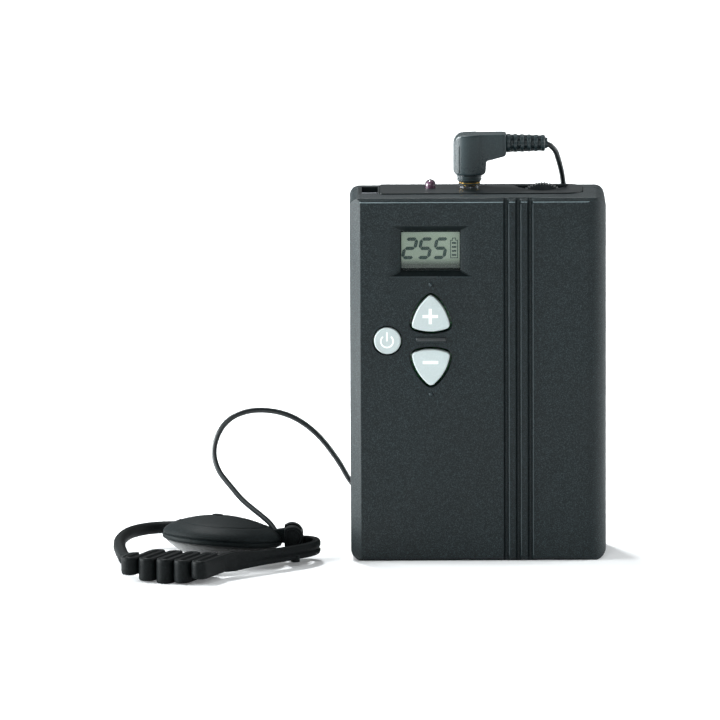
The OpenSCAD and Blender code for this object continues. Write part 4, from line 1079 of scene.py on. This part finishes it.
flat_part = segment("digit_part", DIGIT_WIDE - 0.12)
tall_part = segment("digit_part_tall", DIGIT_HALF - 0.12)
places = ((0, 1, 0), (0.5, 0.5, 1), (0.5, -0.5, 1), (0, -1, 0), (-0.5, -0.5, 1), (-0.5, 0.5, 1),
          (0, 0, 0))
digits = []
for number, parts in enumerate(DIGIT_PARTS):
    for lit, (across, up, upright) in zip(parts, places):
        if lit:
            digits.append(copied(
                tall_part if upright else flat_part, "digit_part",
                (DIGIT_FIRST[0] + number * DIGIT_STEP + across * DIGIT_WIDE, 0,
                 DIGIT_FIRST[1] + up * DIGIT_HALF),
                Matrix.Rotation(math.pi / 2, 4, "Y") if upright else None))
for piece in (flat_part, tall_part):
    bpy.data.objects.remove(piece)
for number, piece in enumerate(digits):
    middle = DIGIT_FIRST[1] * MM
    for corner in piece.data.vertices:
        corner.co.x += DIGIT_SLANT * (corner.co.z - middle)
hand_over(joined("display_digits", digits), DIGIT_INK, "display", "receiver")

BATTERY_SIGN = (-6.52, 83.6, 88.65)
BATTERY_WIDE = 2.1


def battery_sign():
    """The battery's outline with its cap and four bars."""
    x, low, high = BATTERY_SIGN
    half = BATTERY_WIDE / 2
    line = 0.2
    face = display_face
    spans = [((x - half, low), (x - half + line, high)), ((x + half - line, low), (x + half, high)),
             ((x - half, low), (x + half, low + line)),
             ((x - half, high - line), (x - 0.4, high)), ((x + 0.4, high - line), (x + half, high)),
             ((x - 0.52, high - line), (x - 0.52 + line, high + 0.6)),
             ((x + 0.52 - line, high - line), (x + 0.52, high + 0.6)),
             ((x - 0.52, high + 0.6 - line), (x + 0.52, high + 0.6))]
    spans += [((x - 0.6, z - 0.24), (x + 0.6, z + 0.24)) for z in (84.5, 85.6, 86.7, 87.8)]
    parts = []
    for number, (a, b) in enumerate(spans):
        proud = 0.1 + 0.0008 * number
        parts.append(block("battery_part", (a[0], face - proud, a[1]), (b[0], face + 0.02, b[1])))
    return joined("battery_sign", parts)


hand_over(battery_sign(), DIGIT_INK, "display", "receiver")
# A dark frame round the display's face, in the plastic with painted recess shade.
display_frame = drawn("display_rim", [(-1, -1), (1, -1), (1, 1), (-1, 1)], display_face - 0.1,
                      display_face - 0.02)
low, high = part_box("lcd_window")
for corner in display_frame.data.vertices:
    corner.co.x = (low[0] + high[0]) / 2 + corner.co.x / MM * ((high[0] - low[0]) / 2 - 0.25 * MM)
    corner.co.z = (low[2] + high[2]) / 2 + corner.co.z / MM * ((high[2] - low[2]) / 2 - 0.25 * MM)
open_up(display_frame)
pick_faces(display_frame, lambda c, n: abs(n.y) > 0.9)
bpy.ops.mesh.inset(thickness=1.15 * MM, depth=0, use_individual=True)
bpy.ops.mesh.bridge_edge_loops()
close_up()
hand_over(finish_edges(display_frame, 0), RECESS_SHADE_PLASTIC, "inner_black", "receiver")

# ---- lamp, nut, wheel and the wedge ----

dressed("status_lamp", "lamp_lens", 0.08, LAMP_CLEAR, "lamp_clear")
low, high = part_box("status_lamp")
lamp_x = (low[0] + high[0]) / 2 / MM
lamp_y = (low[1] + high[1]) / 2 / MM
lamp_r = (high[0] - low[0]) / 2 / MM - 0.12
# A dark dome that fills the clear lens and carries its painted shade.
lamp_line = [(lamp_r * math.sin(math.radians(a)),
              high[2] / MM - 0.12 - lamp_r + lamp_r * math.cos(math.radians(a)))
             for a in range(0, 91, 9)]
lamp_shade_core = turned("lamp_shade_core", [(max(r, 0), z) for r, z in lamp_line] + [(lamp_r, 99.2), (0, 99.2)],
                  48, (lamp_x, lamp_y, 0))
hand_over(finish_edges(lamp_shade_core, 0.03), LAMP_CORE_SHADE, "lamp_clear", "receiver")
low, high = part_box("jack_nut")
nut_r = (high[0] - low[0]) / 2 / MM
nut_low = low[2] / MM
nut_high = high[2] / MM
nut_hole = 2.85
nut = turned("socket_nut",
             [(nut_hole, nut_low), (nut_r - 0.06, nut_low), (nut_r - 0.06, nut_high - 0.12),
                            (nut_r - 0.3, nut_high), (nut_hole + 0.1, nut_high),
                            (nut_hole, nut_high - 0.1),
                            (nut_hole, nut_low)], 72,
             ((low[0] + high[0]) / 2 / MM, (low[1] + high[1]) / 2 / MM, 0))
open_up(nut)
shape = bmesh.from_edit_mesh(nut.data)
nut_x = (low[0] + high[0]) / 2
nut_y = (low[1] + high[1]) / 2
for face in shape.faces:
    c = face.calc_center_median()
    turn_at = math.degrees(math.atan2(c.y - nut_y, c.x - nut_x)) % 10
    face.select_set(math.hypot(c.x - nut_x, c.y - nut_y) > (nut_r - 0.09) * MM and turn_at < 5)
bmesh.update_edit_mesh(nut.data)
bpy.ops.mesh.inset(thickness=0.05 * MM, depth=0.05 * MM)
close_up()
hand_over(finish_edges(nut, 0, smooth=25), NUT_CHROME, "nut_chrome", "receiver", "jack_nut")
wheel = dressed("volume_wheel", "thumb_wheel", 0.1, WHEEL_PLASTIC, "wheel_black", "wheel")
x, y, z = first_hit(*POINTS["wedge mark"], top_plate)
wedge = drawn("level_wedge", [(x - 2.5, y - 0.1), (x + 2.5, y - 0.55), (x + 2.5, y + 0.55)],
              z - 0.1, z + 0.04, "Z")
hand_over(finish_edges(wedge, 0.03), PRINT_WHITE, "panel_black", "receiver")

# ---- plug, its sleeve and its pin ----

JACK_X = -2.1
JACK_Y = 7.0
ARM_Z = 112.7
ARM_END = 8.05
plug = softened("plug_body", "plug_moulding", 0)
take(plug)
melt = plug.modifiers.new("even mesh", "REMESH")
melt.mode = "VOXEL"
melt.voxel_size = 0.2 * MM
bpy.ops.object.modifier_apply(modifier=melt.name)
melt = plug.modifiers.new("melted edges", "SMOOTH")
melt.factor = 0.6
melt.iterations = 9
bpy.ops.object.modifier_apply(modifier=melt.name)
bpy.ops.object.shade_smooth()
hand_over(plug, PLUG_PLASTIC, "plug_black", "earphone", "plug_body")


def mould_band():
    """The narrow raised band that the mould leaves down the front left of the plug."""
    ring = [math.radians(a) for a in range(210, 234, 2)]
    outline = [(4.6 * math.cos(a), 4.6 * math.sin(a)) for a in ring]
    outline += [(4.2 * math.cos(a), 4.2 * math.sin(a)) for a in reversed(ring)]
    piece = drawn("plug_mould_band", [(JACK_X + a, JACK_Y + b) for a, b in outline], 104.9, 112.4,
                  "Z")
    return finish_edges(piece, 0.07, 2)


hand_over(mould_band(), PLUG_PLASTIC, "plug_black", "earphone")
collar = turned("plug_foot",
                [(2.7, 102.35), (3.1, 102.38), (3.38, 102.65), (3.38, 103.1), (3.22, 103.18),
                              (3.22, 103.34), (3.4, 103.42), (3.4, 103.9), (3.3, 104.0),
                              (3.3, 104.25), (2.7, 104.25),
                              (2.7, 102.35)], 72, (JACK_X, JACK_Y, 0))
hand_over(finish_edges(collar, 0, smooth=40), PLUG_PLASTIC, "plug_black", "earphone", "plug_collar")
pin = turned("plug_contacts",
             [(0, 87.35), (0.3, 87.4), (0.9, 88.1), (1.68, 89.0), (1.3, 90.15), (1.32, 90.6),
                               (1.75, 90.95), (1.75, 101.35), (2.6, 101.37), (2.8, 101.5),
                               (2.8, 101.85),
                               (2.96, 101.9), (2.96, 102.06), (2.8, 102.12), (2.8, 102.35),
                               (0, 102.35)], 64,
             (JACK_X, JACK_Y, 0))
hand_over(finish_edges(pin, 0, smooth=40), PLUG_GOLD, "plug_gold", "earphone", "plug_pin")
shoulder = [turned("plug_shoulder",
                   [(2.7, low), (2.9, low), (3.0, low + 0.08), (3.0, high - 0.08), (2.9, high),
                                     (2.7, high), (2.7, low)], 64, (JACK_X, JACK_Y, 0))
            for low, high in ((101.42, 101.86), (102.14, 102.36))]
hand_over(finish_edges(joined("plug_shoulder", shoulder), 0), PLUG_PLASTIC, "plug_black",
          "earphone")
bands = [turned("pin_band",
                [(1.6, z), (1.76, z + 0.02), (1.76, z + 0.48), (1.6, z + 0.5), (1.6, z)], 48,
                (JACK_X, JACK_Y, 0)) for z in (91.2, 94.4, 97.6)]
hand_over(finish_edges(joined("pin_bands", bands), 0), INNER_BLACK, "plug_gold", "earphone")

RIBS = 6
RIB_STEP = 11.3 / RIBS
RELIEF_R = 2.6


def cord_sleeve():
    """The ribbed sleeve: rings on a thin tube, tied to each other by short webs on two opposite
    sides.
    """
    to_arm = Matrix.Rotation(math.pi / 2, 4, "Y")
    place = (ARM_END, JACK_Y, ARM_Z)
    length = RIBS * RIB_STEP
    tube = turned("sleeve_tube",
                  [(1.05, 0.02), (1.55, 0.02), (1.55, length - 0.4), (1.4, length - 0.02),
                                  (1.28, length - 0.02), (1.22, length - 0.6), (1.06, length - 2.6),
                                  (1.05, 0.02)],
                  48)
    parts = [copied(tube, "sleeve_tube", place, to_arm)]
    bpy.data.objects.remove(tube)
    for number in range(RIBS):
        r = RELIEF_R - 0.07 * number
        wide = RIB_STEP * 0.62
        start = number * RIB_STEP + 0.02
        ring = turned("sleeve_ring",
                      [(1.5, start), (r - 0.2, start), (r, start + 0.2), (r, start + wide - 0.25),
                                      (r - 0.25, start + wide), (1.5, start + wide)], 64)
        parts.append(copied(ring, "sleeve_ring", place, to_arm))
        bpy.data.objects.remove(ring)
        if number < RIBS - 1:
            for side in (0, 180):
                web = block("sleeve_web", (-1.0, 1.3, start + wide - 0.1),
                            (1.0, r - 0.3, start + RIB_STEP + 0.1))
                finish_edges(web, 0.08, 2)
                swing = Matrix.Rotation(math.radians(90 + side), 4, "Z")
                parts.append(copied(web, "sleeve_web", place, to_arm @ swing))
                bpy.data.objects.remove(web)
    return joined("cord_sleeve", parts)


sleeve = cord_sleeve()
hand_over(finish_edges(sleeve, 0, smooth=40), PLUG_PLASTIC, "plug_black", "earphone",
          "strain_relief")
tie = softened("coil_tie", "coil_band", 0.12)
hand_over(tie, CORD_SHEATH, "cord_black", "earphone", "coil_tie")

# ---- earphone ----

POD_AT = (-70.2, -12.0, 7.2)
POD_TILT = (math.radians(-5), math.radians(4.5), 0)
dome_line = [(13.9, -0.02), (16.05, -0.02), (16.2, 0.06), (16.28, 0.4), (16.05, 0.85), (15.55, 1.5),
             (14.9, 2.02),
             (14.1, 2.52), (13.2, 3.0), (12.5, 3.36), (12.3, 3.38), (12.14, 3.26), (11.98, 3.28),
             (11.8, 3.5)]
dome_line += [(r, 3.55 + 2.05 * (1 - (r / 11.8) ** 2)) for r in (11.4, 10.4, 9.2, 8, 6.6, 5.2, 3.8,
                                                                 2.4, 1.2, 0)]
dome = turned("earphone_cover", dome_line + [(0, 1.8), (13.9, 1.8), (13.9, -0.02)], 160, POD_AT,
              POD_TILT)
finish_edges(dome, 0, smooth=38)
lug_line = [(-51.1 + 2.2 * math.cos(math.radians(a)), 7.2 + 2.2 * math.sin(math.radians(a)))
            for a in range(-96, 97, 8)]
lug_line += [(-56.6 + 1.54 * math.cos(math.radians(a)), 7.2 + 1.54 * math.sin(math.radians(a)))
             for a in range(96, 265, 14)]
lug = finish_edges(drawn("earphone_lug", lug_line, -13.1, -10.9), 0)
hand_over(joined("earphone_cover", [dome, lug]), POD_PLASTIC, "pod_black", "earphone",
          "speaker_shell")
bezel = turned("earphone_rim",
               [(14.0, -0.02), (16.0, -0.02), (16.12, -0.1), (16.2, -0.28), (16.36, -0.36),
                                (16.4, -0.5), (16.4, -1.05), (16.3, -1.3), (15.9, -1.58),
                                (14.0, -1.6), (14.0, -0.02)],
               160, POD_AT, POD_TILT)
hand_over(finish_edges(bezel, 0, smooth=50), POD_PLASTIC, "pod_black", "earphone", "speaker_bezel")
cushion_line = smooth_line([(0.001, -2.62), (4, -2.6), (7.4, -2.62), (8.4, -3.1), (9.2, -4.2),
                            (10.2, -4.95),
                            (11.4, -4.62), (13.0, -3.7), (14.3, -2.8), (15.2, -2.0), (15.4, -1.62)],
                            4)
cushion = turned("ear_cushion",
                 [(max(r, 0), z) for r, z in cushion_line] + [(13.9, -1.6), (0, -1.6)], 128, POD_AT,
                 POD_TILT)
hand_over(finish_edges(cushion, 0, smooth=60), PAD_FOAM, "pad_grey", "earphone",
                    "ear_pad")
dressed("speaker_driver", "driver_face", 0.2, DRIVER_CLOTH, "inner_grey", "earphone")
cap = turned("earphone_stud",
             [(0, 5.3), (1.5, 5.3), (1.5, 5.62), (1.38, 5.78), (1.1, 5.84), (0.5, 5.8), (0, 5.78)],
             40)
cap.data.transform(Matrix.Translation((-1.6 * MM, 0.6 * MM, 0)))
cap.location = [c * MM for c in POD_AT]
cap.rotation_euler = POD_TILT
hand_over(finish_edges(settle(cap), 0, smooth=40), HOOK_RUBBER, "pod_black", "earphone",
          "speaker_cap")

# ---- hook, in mm as in the source ----

STRIP_ROUTE = [(-49.6, -8.7, 4.4), (-47, -7.7, 4.3), (-44.8, -9.4, 4.2), (-44.5, -13, 4.2),
               (-46.4, -17, 4.2),
               (-50.2, -20.8, 4.15), (-55.2, -24.8, 4.1), (-61, -29.2, 4.1), (-66.5, -33.2, 4.1)]
LOOP_ROUTE = [(-96.5, -29.5, 4.2), (-97.7, -20, 4.3), (-98.4, -12, 4.5), (-98.1, -4, 4.8),
              (-95.8, 4, 5.1),
              (-91, 9, 5.3), (-84.5, 10.4, 5.4), (-77, 10, 5.4), (-71, 9.4, 5.4), (-66, 9, 5.4)]
STRIP_HALF = (1.1, 2.0)
LOOP_R = 1.7
FOLDS = 5
FOLD_THICK = 2.12
FOLD_LONG = 13.2
FOLD_AT = Vector((-95.5, -40))
FOLD_PITCH = Vector((4.78, -1.6))
FOLD_WAY = Vector((0.453, 0.891))
FOLD_SIDE = Vector((0.891, -0.453))
FOLD_HALF = 1.33
FOLD_TOP = 6.76


def fold_ring(at, k):
    low = 0.45 * (k - (FOLDS - 1) / 2) ** 2
    return (at[0], at[1], (FOLD_TOP + low) / 2, FOLD_THICK / 2, (FOLD_TOP - low) / 2, 1.0, 0.0)


def hook_rings():
    """Rings of the hook: place, half thickness, half height, depth of channel and of grooves."""
    plain = smooth_line(STRIP_ROUTE, 8)
    rings = []
    for i, p in enumerate(plain):
        fan = max(0.0, 1 - (len(plain) - 1 - i) / 14) ** 1.6
        rings.append((p[0], p[1], p[2] + 0.12 * fan, STRIP_HALF[0], STRIP_HALF[1] + 0.75 * fan, 1.0,
                      1 - fan))
    for i in range(FOLDS):
        k = FOLDS - 1 - i
        c = FOLD_AT + k * FOLD_PITCH
        right = c + (FOLD_LONG - FOLD_HALF) * FOLD_WAY + FOLD_HALF * FOLD_SIDE
        left = c + (FOLD_LONG - FOLD_HALF) * FOLD_WAY - FOLD_HALF * FOLD_SIDE
        after = right - FOLD_PITCH
        rings.append(fold_ring(right, k))
        for w in range(0, 181, 12):
            a = math.radians(w)
            swing = math.cos(a) * FOLD_SIDE - math.sin(a) * FOLD_WAY
            rings.append(fold_ring(c + FOLD_HALF * FOLD_WAY + FOLD_HALF * swing, k))
        if k:
            for w in range(0, 169, 12):
                a = math.radians(w)
                rings.append(fold_ring((left + after) / 2 + math.cos(a) * (left - after) / 2
                                       + FOLD_HALF * math.sin(a) * FOLD_WAY, k - w / 360))
    rings.append(fold_ring(FOLD_AT + 0.55 * FOLD_LONG * FOLD_WAY - FOLD_HALF * FOLD_SIDE, 0))
    rings += [(*p, LOOP_R, LOOP_R, 0.0, 0.0) for p in smooth_line(LOOP_ROUTE, 8)]
    full = []
    for one, two in zip(rings, rings[1:]):
        gap = math.dist(one[:2], two[:2])
        parts = max(1, round(gap / 0.9))
        for k in range(parts):
            t = k / parts
            full.append([p + (q - p) * t for p, q in zip(one, two)])
    return full + [list(rings[-1])]


SECTION_SIDES = 72
GROOVE_DEEP = 0.42
GROOVE_HALF = 0.3


def hook_section(half, tall, deep, groove):
    """Rounded outline with a groove along each side and a shallow channel along the top."""
    power = 0.16 + 0.84 * min(half / tall, 1) ** 1.3
    points = []
    for k in range(SECTION_SIDES):
        w = 2 * math.pi * (k + 0.5) / SECTION_SIDES
        a = half * math.copysign(abs(math.cos(w)) ** power, math.cos(w))
        b = tall * math.copysign(abs(math.sin(w)) ** power, math.sin(w))
        side = min(1.0, 1.6 * max(0.0, 1 - abs(b + 0.22 * tall) / GROOVE_HALF))
        top = max(0.0, 1 - abs(a) / (0.42 * half)) if b > 0 else 0.0
        points.append((a - math.copysign(GROOVE_DEEP * groove * side, a),
                       b - 0.36 * deep * top ** 0.6))
    return points


def loft_faces(rings, sides):
    """The four-sided faces between neighbouring rings of corners."""
    faces = []
    for i in range(rings - 1):
        low = i * sides
        for k in range(sides):
            n = (k + 1) % sides
            faces.append((low + k, low + n, low + sides + n, low + sides + k))
    return faces


def swept_hook():
    """The hook's sections set along its route and closed at both ends."""
    rings = hook_rings()
    corners = []
    for i, ring in enumerate(rings):
        ahead = rings[min(i + 1, len(rings) - 1)]
        behind = rings[max(i - 1, 0)]
        way = Vector((ahead[0] - behind[0], ahead[1] - behind[1], 0)).normalized()
        across = way.cross(Vector((0, 0, 1)))
        for a, b in hook_section(*ring[3:]):
            corners.append(((ring[0] + a * across.x) * MM, (ring[1] + a * across.y) * MM,
                            (ring[2] + b) * MM))
    faces = loft_faces(len(rings), SECTION_SIDES)
    last = (len(rings) - 1) * SECTION_SIDES
    faces.append(tuple(reversed(range(SECTION_SIDES))))
    faces.append(tuple(range(last, last + SECTION_SIDES)))
    piece = meshed("hook_strip", corners, [], faces)
    open_up(piece)
    close_outward()
    return piece


hook = hand_over(finish_edges(swept_hook(), 0, smooth=50), HOOK_RUBBER, "hook_black", "hook",
                 "ear_hook")
kept_within(hook, "ear_hook")
KNOB_X = -51.1
KNOB_Z = 7.2
KNOB_R = 3.1
KNOB_SIDES = 61


def knob_part(name, flat, steps):
    """The knob to the right of a flat, lofted through steps of level and how far it is drawn in."""
    spots = []
    for level, drawn_in in steps:
        r = KNOB_R - drawn_in
        turn = math.acos((flat + drawn_in) / r)
        for k in range(KNOB_SIDES):
            a = turn * (2 * k / (KNOB_SIDES - 1) - 1)
            spots.append([(KNOB_X + r * math.cos(a)) * MM, level * MM,
                          (KNOB_Z + r * math.sin(a)) * MM])
    faces = [tuple(range(KNOB_SIDES)), tuple(len(spots) - 1 - k for k in range(KNOB_SIDES))]
    faces += loft_faces(len(steps), KNOB_SIDES)
    piece = meshed(name, spots, [], faces)
    open_up(piece)
    close_outward()
    return finish_edges(piece, 0, smooth=40)


ears = [knob_part("hook_barrel", -2.1,
                  [(-13.15, 0.12), (-13.27, 0), (-15.7, 0), (-15.92, 0.08), (-16, 0.28),
                   (-16, 0.66),
                                        (-15.74, 0.78), (-15.74, 1.2), (-15.9, 1.32),
                                        (-15.9, 1.5)]),
        knob_part("back_ear", -2.1,
                  [(-10.85, 0.12), (-10.97, 0), (-8.3, 0), (-8.08, 0.08), (-8, 0.28)])]
web = knob_part("knob_web", 2.45, [(-13.5, 0), (-10.5, 0)])
knob = hand_over(joined("hook_barrel", ears + [web]), HOOK_RUBBER, "hook_black", "hook",
                 "swivel_knob")
dressed("swivel_axle", "hook_axle", 0.1, SPRING_STEEL, "spring_steel", "hook")
dressed("hook_rivet", "hook_stud", 0.2, HOOK_RUBBER, "hook_black", "hook")

# ---- cells, springs and the inner parts ----

CELL_Y = 3.25
CELL_X = 7.85
SLEEVE_DARK = shade(38, 44, 54)
SLEEVE_COPPER = shade(176, 120, 58)
TIN_TONE = shade(196, 197, 194)
cell_up = banded("cell sleeve upright", [(4.6, TIN_TONE), (40, SLEEVE_DARK),
                                         (52.2, SLEEVE_COPPER), (70, TIN_TONE)], "Z", 0.28, 0.6)
cell_down = banded("cell sleeve inverted",
                   [(9.6, TIN_TONE), (22, SLEEVE_COPPER), (57.3, SLEEVE_DARK),
                                            (70, TIN_TONE)], "Z", 0.28, 0.6)
hand_over(softened("cell_right", "cell_upright", 0.35, 3), cell_up, "cell_wrap", "receiver",
          "cell_right")
hand_over(softened("cell_left", "cell_inverted", 0.35, 3), cell_down, "cell_wrap", "receiver",
          "cell_left")


SPRING_TURNS = 4
SPRING_STEPS = 160
SPRING_WIDE = 3.3
SPRING_TAPER = 1.35
SPRING_WIRE = 0.4


def coiled_wire(name, x, base, length, up):
    """A conical battery spring; it narrows away from its plate."""
    line = []
    for k in range(SPRING_STEPS + 1):
        t = k / SPRING_STEPS
        w = 2 * math.pi * SPRING_TURNS * t
        r = SPRING_WIDE - SPRING_TAPER * t
        rise = 0.42 + (length - 0.84) * t
        line.append((x + r * math.cos(w), CELL_Y + r * math.sin(w),
                     base + rise if up else base - rise))
    piece = strung(name, line, SPRING_WIRE, 3)
    piece.data.materials.append(SPRING_STEEL)
    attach(piece, "receiver")
    return piece


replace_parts(coiled_wire("cell_spring_low", -CELL_X, 3.7, 4.0, True), "contact_springs")
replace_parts(coiled_wire("cell_spring_high", CELL_X, 58.5, 4.0, False), "contact_springs")

chip = block("chip", (-3.4, 1.6, -3.4), (3.4, 2.8, 3.4))
open_up(chip)
pick_faces(chip, lambda c, n: n.y > 0.9)
bpy.ops.mesh.inset(thickness=0.3 * MM, depth=0.06 * MM)
close_up()
finish_edges(chip, 0.08, 2)
CHIPS = {"radio_chip": (0.5, 0, 86.0), "sound_chip": (2.5, 0, 70.0)}
for name, place in CHIPS.items():
    hand_over(copied(chip, name, place), INNER_BLACK, "inner_black", "receiver")
bpy.data.objects.remove(chip)
leg = block("chip_leg", (-0.16, 1.6, -0.55), (0.16, 1.85, 0.55))
open_up(leg)
pick_faces(leg, lambda c, n: n.z > 0.9)
bpy.ops.mesh.extrude_region_move(TRANSFORM_OT_translate={"value": (0, 0.3 * MM, 0.35 * MM)})
close_up()
finish_edges(leg, 0.03, 1)
legs = []
for place in CHIPS.values():
    for k in range(8):
        for quarter in range(4):
            swing = Matrix.Rotation(quarter * math.pi / 2, 4, "Y")
            side = swing @ Matrix.Translation(((k - 3.5) * 0.78 * MM, 0, -4.1 * MM))
            legs.append(copied(leg, "chip_leg", place, side))
bpy.data.objects.remove(leg)
hand_over(joined("chip_legs", legs), TIN, "tin", "receiver")
small = block("small_part", (-0.8, 1.6, -0.45), (0.8, 2.3, 0.45))
finish_edges(small, 0.08, 2)
smalls = [copied(small, "small_part", (x, 0, z)) for x, z in
          ((-22.5, 86), (-22.5, 88.5), (-18, 86), (-18, 88.5), (-13.5, 88), (7.5, 64.5), (10, 67),
           (20, 66), (20, 70), (23.5, 78), (23.5, 81), (7, 80), (7, 77.5), (16, 84), (19, 84))]
bpy.data.objects.remove(small)
hand_over(joined("board_chips", smalls), INNER_GREY, "inner_grey", "receiver")

# ---- every CAD part that stays gets its finish by its slot ----

FINISHES = {
    "case_black": CASE_PLASTIC, "panel_black": PANEL_PLASTIC, "key_grey": KEY_PLASTIC,
    "window": WINDOW_CLEAR,
    "display": DISPLAY_BACKING, "board_green": BOARD, "inner_black": INNER_BLACK,
    "inner_grey": INNER_GREY,
    "tin": TIN, "cell_wrap": cell_up, "spring_steel": SPRING_STEEL, "screw_steel": SCREW_STEEL,
    "bar_steel": BAR_STEEL, "nut_chrome": NUT_CHROME, "lamp_clear": LAMP_CLEAR, "copper": COPPER,
    "wheel_black": WHEEL_PLASTIC, "plug_black": PLUG_PLASTIC, "plug_gold": PLUG_GOLD,
    "cord_black": CORD_SHEATH,
    "hook_black": HOOK_RUBBER, "pod_black": POD_PLASTIC, "pad_grey": PAD_FOAM,
    "foot_rubber": FOOT_RUBBER}
for part in frame["record"]["subparts"]:
    for holder in frame["nodes"][part["node"]].material_slots:
        holder.material = FINISHES[part["material_slot"]]

# ---- floor and light ----

FLOOR_REACH = 6.0
floor = block("floor", (-FLOOR_REACH / MM, -FLOOR_REACH / MM, -20),
              (FLOOR_REACH / MM, FLOOR_REACH / MM, 0))
floor_finish, tree, shader = new_finish("pale paper floor")
place = own_place(tree)
cloud = stepped(tree, spotted(tree, place, 9.0, 3.0), 0.3, 0.7, 0.0, 1.0)
tree.links.new(tinted(tree, cloud, (0.87, 0.88, 0.885, 1), (0.9, 0.905, 0.91, 1)),
               shader.inputs["Base Color"])
shader.inputs["Roughness"].default_value = 0.75
glow = place_node(tree, "ShaderNodeEmission", {"Color": (0.97, 0.985, 1.0, 1), "Strength": 1.0})
path = place_node(tree, "ShaderNodeLightPath")
strength = figured(tree, "MULTIPLY", path.outputs["Is Camera Ray"], 0.1)
tree.links.new(strength, glow.inputs["Strength"])
both = place_node(tree, "ShaderNodeAddShader",
                  {0: shader.outputs["BSDF"], 1: glow.outputs["Emission"]})
tree.links.new(both.outputs["Shader"], tree.nodes["Material Output"].inputs["Surface"])
floor.data.materials.append(floor_finish)
floor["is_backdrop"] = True


def soft_lamp(name, place, aim, width, height, watts, colour=(1, 1, 1)):
    """A plain soft box that looks at a point; places in metres."""
    data = bpy.data.lights.new(name, "AREA")
    data.shape = "RECTANGLE"
    data.size = width
    data.size_y = height
    data.energy = watts
    data.color = colour
    lamp = linked(name, data)
    lamp.location = place
    lamp.rotation_euler = (Vector(aim) - Vector(place)).to_track_quat("-Z", "Y").to_euler()
    return lamp


soft_lamp("front soft box", (-0.4, -1.8, 1.25), (-0.02, 0, 0.05), 0.6, 0.6, 11, (0.96, 0.99, 1.0))
soft_lamp("back soft box", (-0.35, 0.8, 1.5), (-0.02, 0, 0), 0.24, 0.24, 27, (0.96, 0.99, 1.0))
soft_lamp("left soft box", (-1.6, 0.05, 0.3), (-0.02, 0, 0.05), 1.2, 1.2, 122, (0.95, 0.99, 1.0))
soft_lamp("right soft box", (1.9, 0.3, 0.8), (0, 0, 0.05), 1.0, 1.4, 38, (0.96, 0.99, 1.0))

world = bpy.data.worlds.new("white studio")
bpy.context.scene.world = world
world.use_nodes = True
tree = world.node_tree
ground = tree.nodes["Background"]
ground.inputs["Color"].default_value = (0.985, 0.993, 1.0, 1)
path = place_node(tree, "ShaderNodeLightPath")
seen = figured(tree, "MAXIMUM", path.outputs["Is Camera Ray"], path.outputs["Is Transmission Ray"])
tree.links.new(stepped(tree, seen, 0.0, 1.0, 0.27, 1.0), ground.inputs["Strength"])
bpy.context.scene.view_settings.view_transform = "Standard"

# ---- where each thing shows in the photograph, in its pixels ----


def shown_box(*pieces):
    """Lowest and highest x and y, in the photograph's pixels, of the pieces' corners."""
    graph = bpy.context.evaluated_depsgraph_get()
    spots = []
    for piece in pieces:
        shape = piece.evaluated_get(graph)
        mesh = shape.to_mesh()
        spots += [seen_at(corner.co) for corner in mesh.vertices]
        shape.to_mesh_clear()
    xs = [x for x, _ in spots]
    ys = [y for _, y in spots]
    return min(xs), min(ys), max(xs), max(ys)


def middle_of(*pieces):
    a, b, c, d = shown_box(*pieces)
    return (a + c) / 2, (b + d) / 2


def face_shown(piece, test):
    """Middle of the box that the corners passing the test show in."""
    spots = [seen_at(corner.co) for corner in piece.data.vertices if test(corner.co / MM)]
    return ((min(x for x, _ in spots) + max(x for x, _ in spots)) / 2,
            (min(y for _, y in spots) + max(y for _, y in spots)) / 2)


KEY_RIM_Y = -12.8
PANEL_SHOWS_Z = 100.8
case_box = shown_box(case_front)
shown = {
    "case left side": (case_box[0], None),
    "case right side": (case_box[2], None),
    "case front foot": (None, max(seen_at(c.co)[1] for c in case_front.data.vertices
                                  if c.co.y < -10 * MM)),
    "display glass": middle_of(window),
    "plus key": face_shown(plus_cap, lambda c: c.y < KEY_RIM_Y),
    "minus key": face_shown(minus_cap, lambda c: c.y < KEY_RIM_Y),
    "power key": face_shown(power_cap, lambda c: c.y < KEY_RIM_Y),
    "ridge between the keys": middle_of(ridge),
    "upper dot": face_shown(key_dots, lambda c: c.z > 62),
    "lamp foot": seen_at((lamp_x * MM, lamp_y * MM, PANEL_SHOWS_Z * MM)),
    "wheel": face_shown(wheel, lambda c: c.z > PANEL_SHOWS_Z),
    "plug top": (None, shown_box(plug)[1]),
    "plug left side": (shown_box(plug)[0], None),
    "sleeve end": (shown_box(sleeve)[2], middle_of(sleeve)[1]),
    "speaker cap": middle_of(cap),
    "swivel knob": middle_of(knob),
    "wedge mark": middle_of(wedge),
    "plus print": middle_of(plus_sign),
    "minus print": middle_of(minus_sign),
    "power print": middle_of(power_sign),
}
low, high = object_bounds()
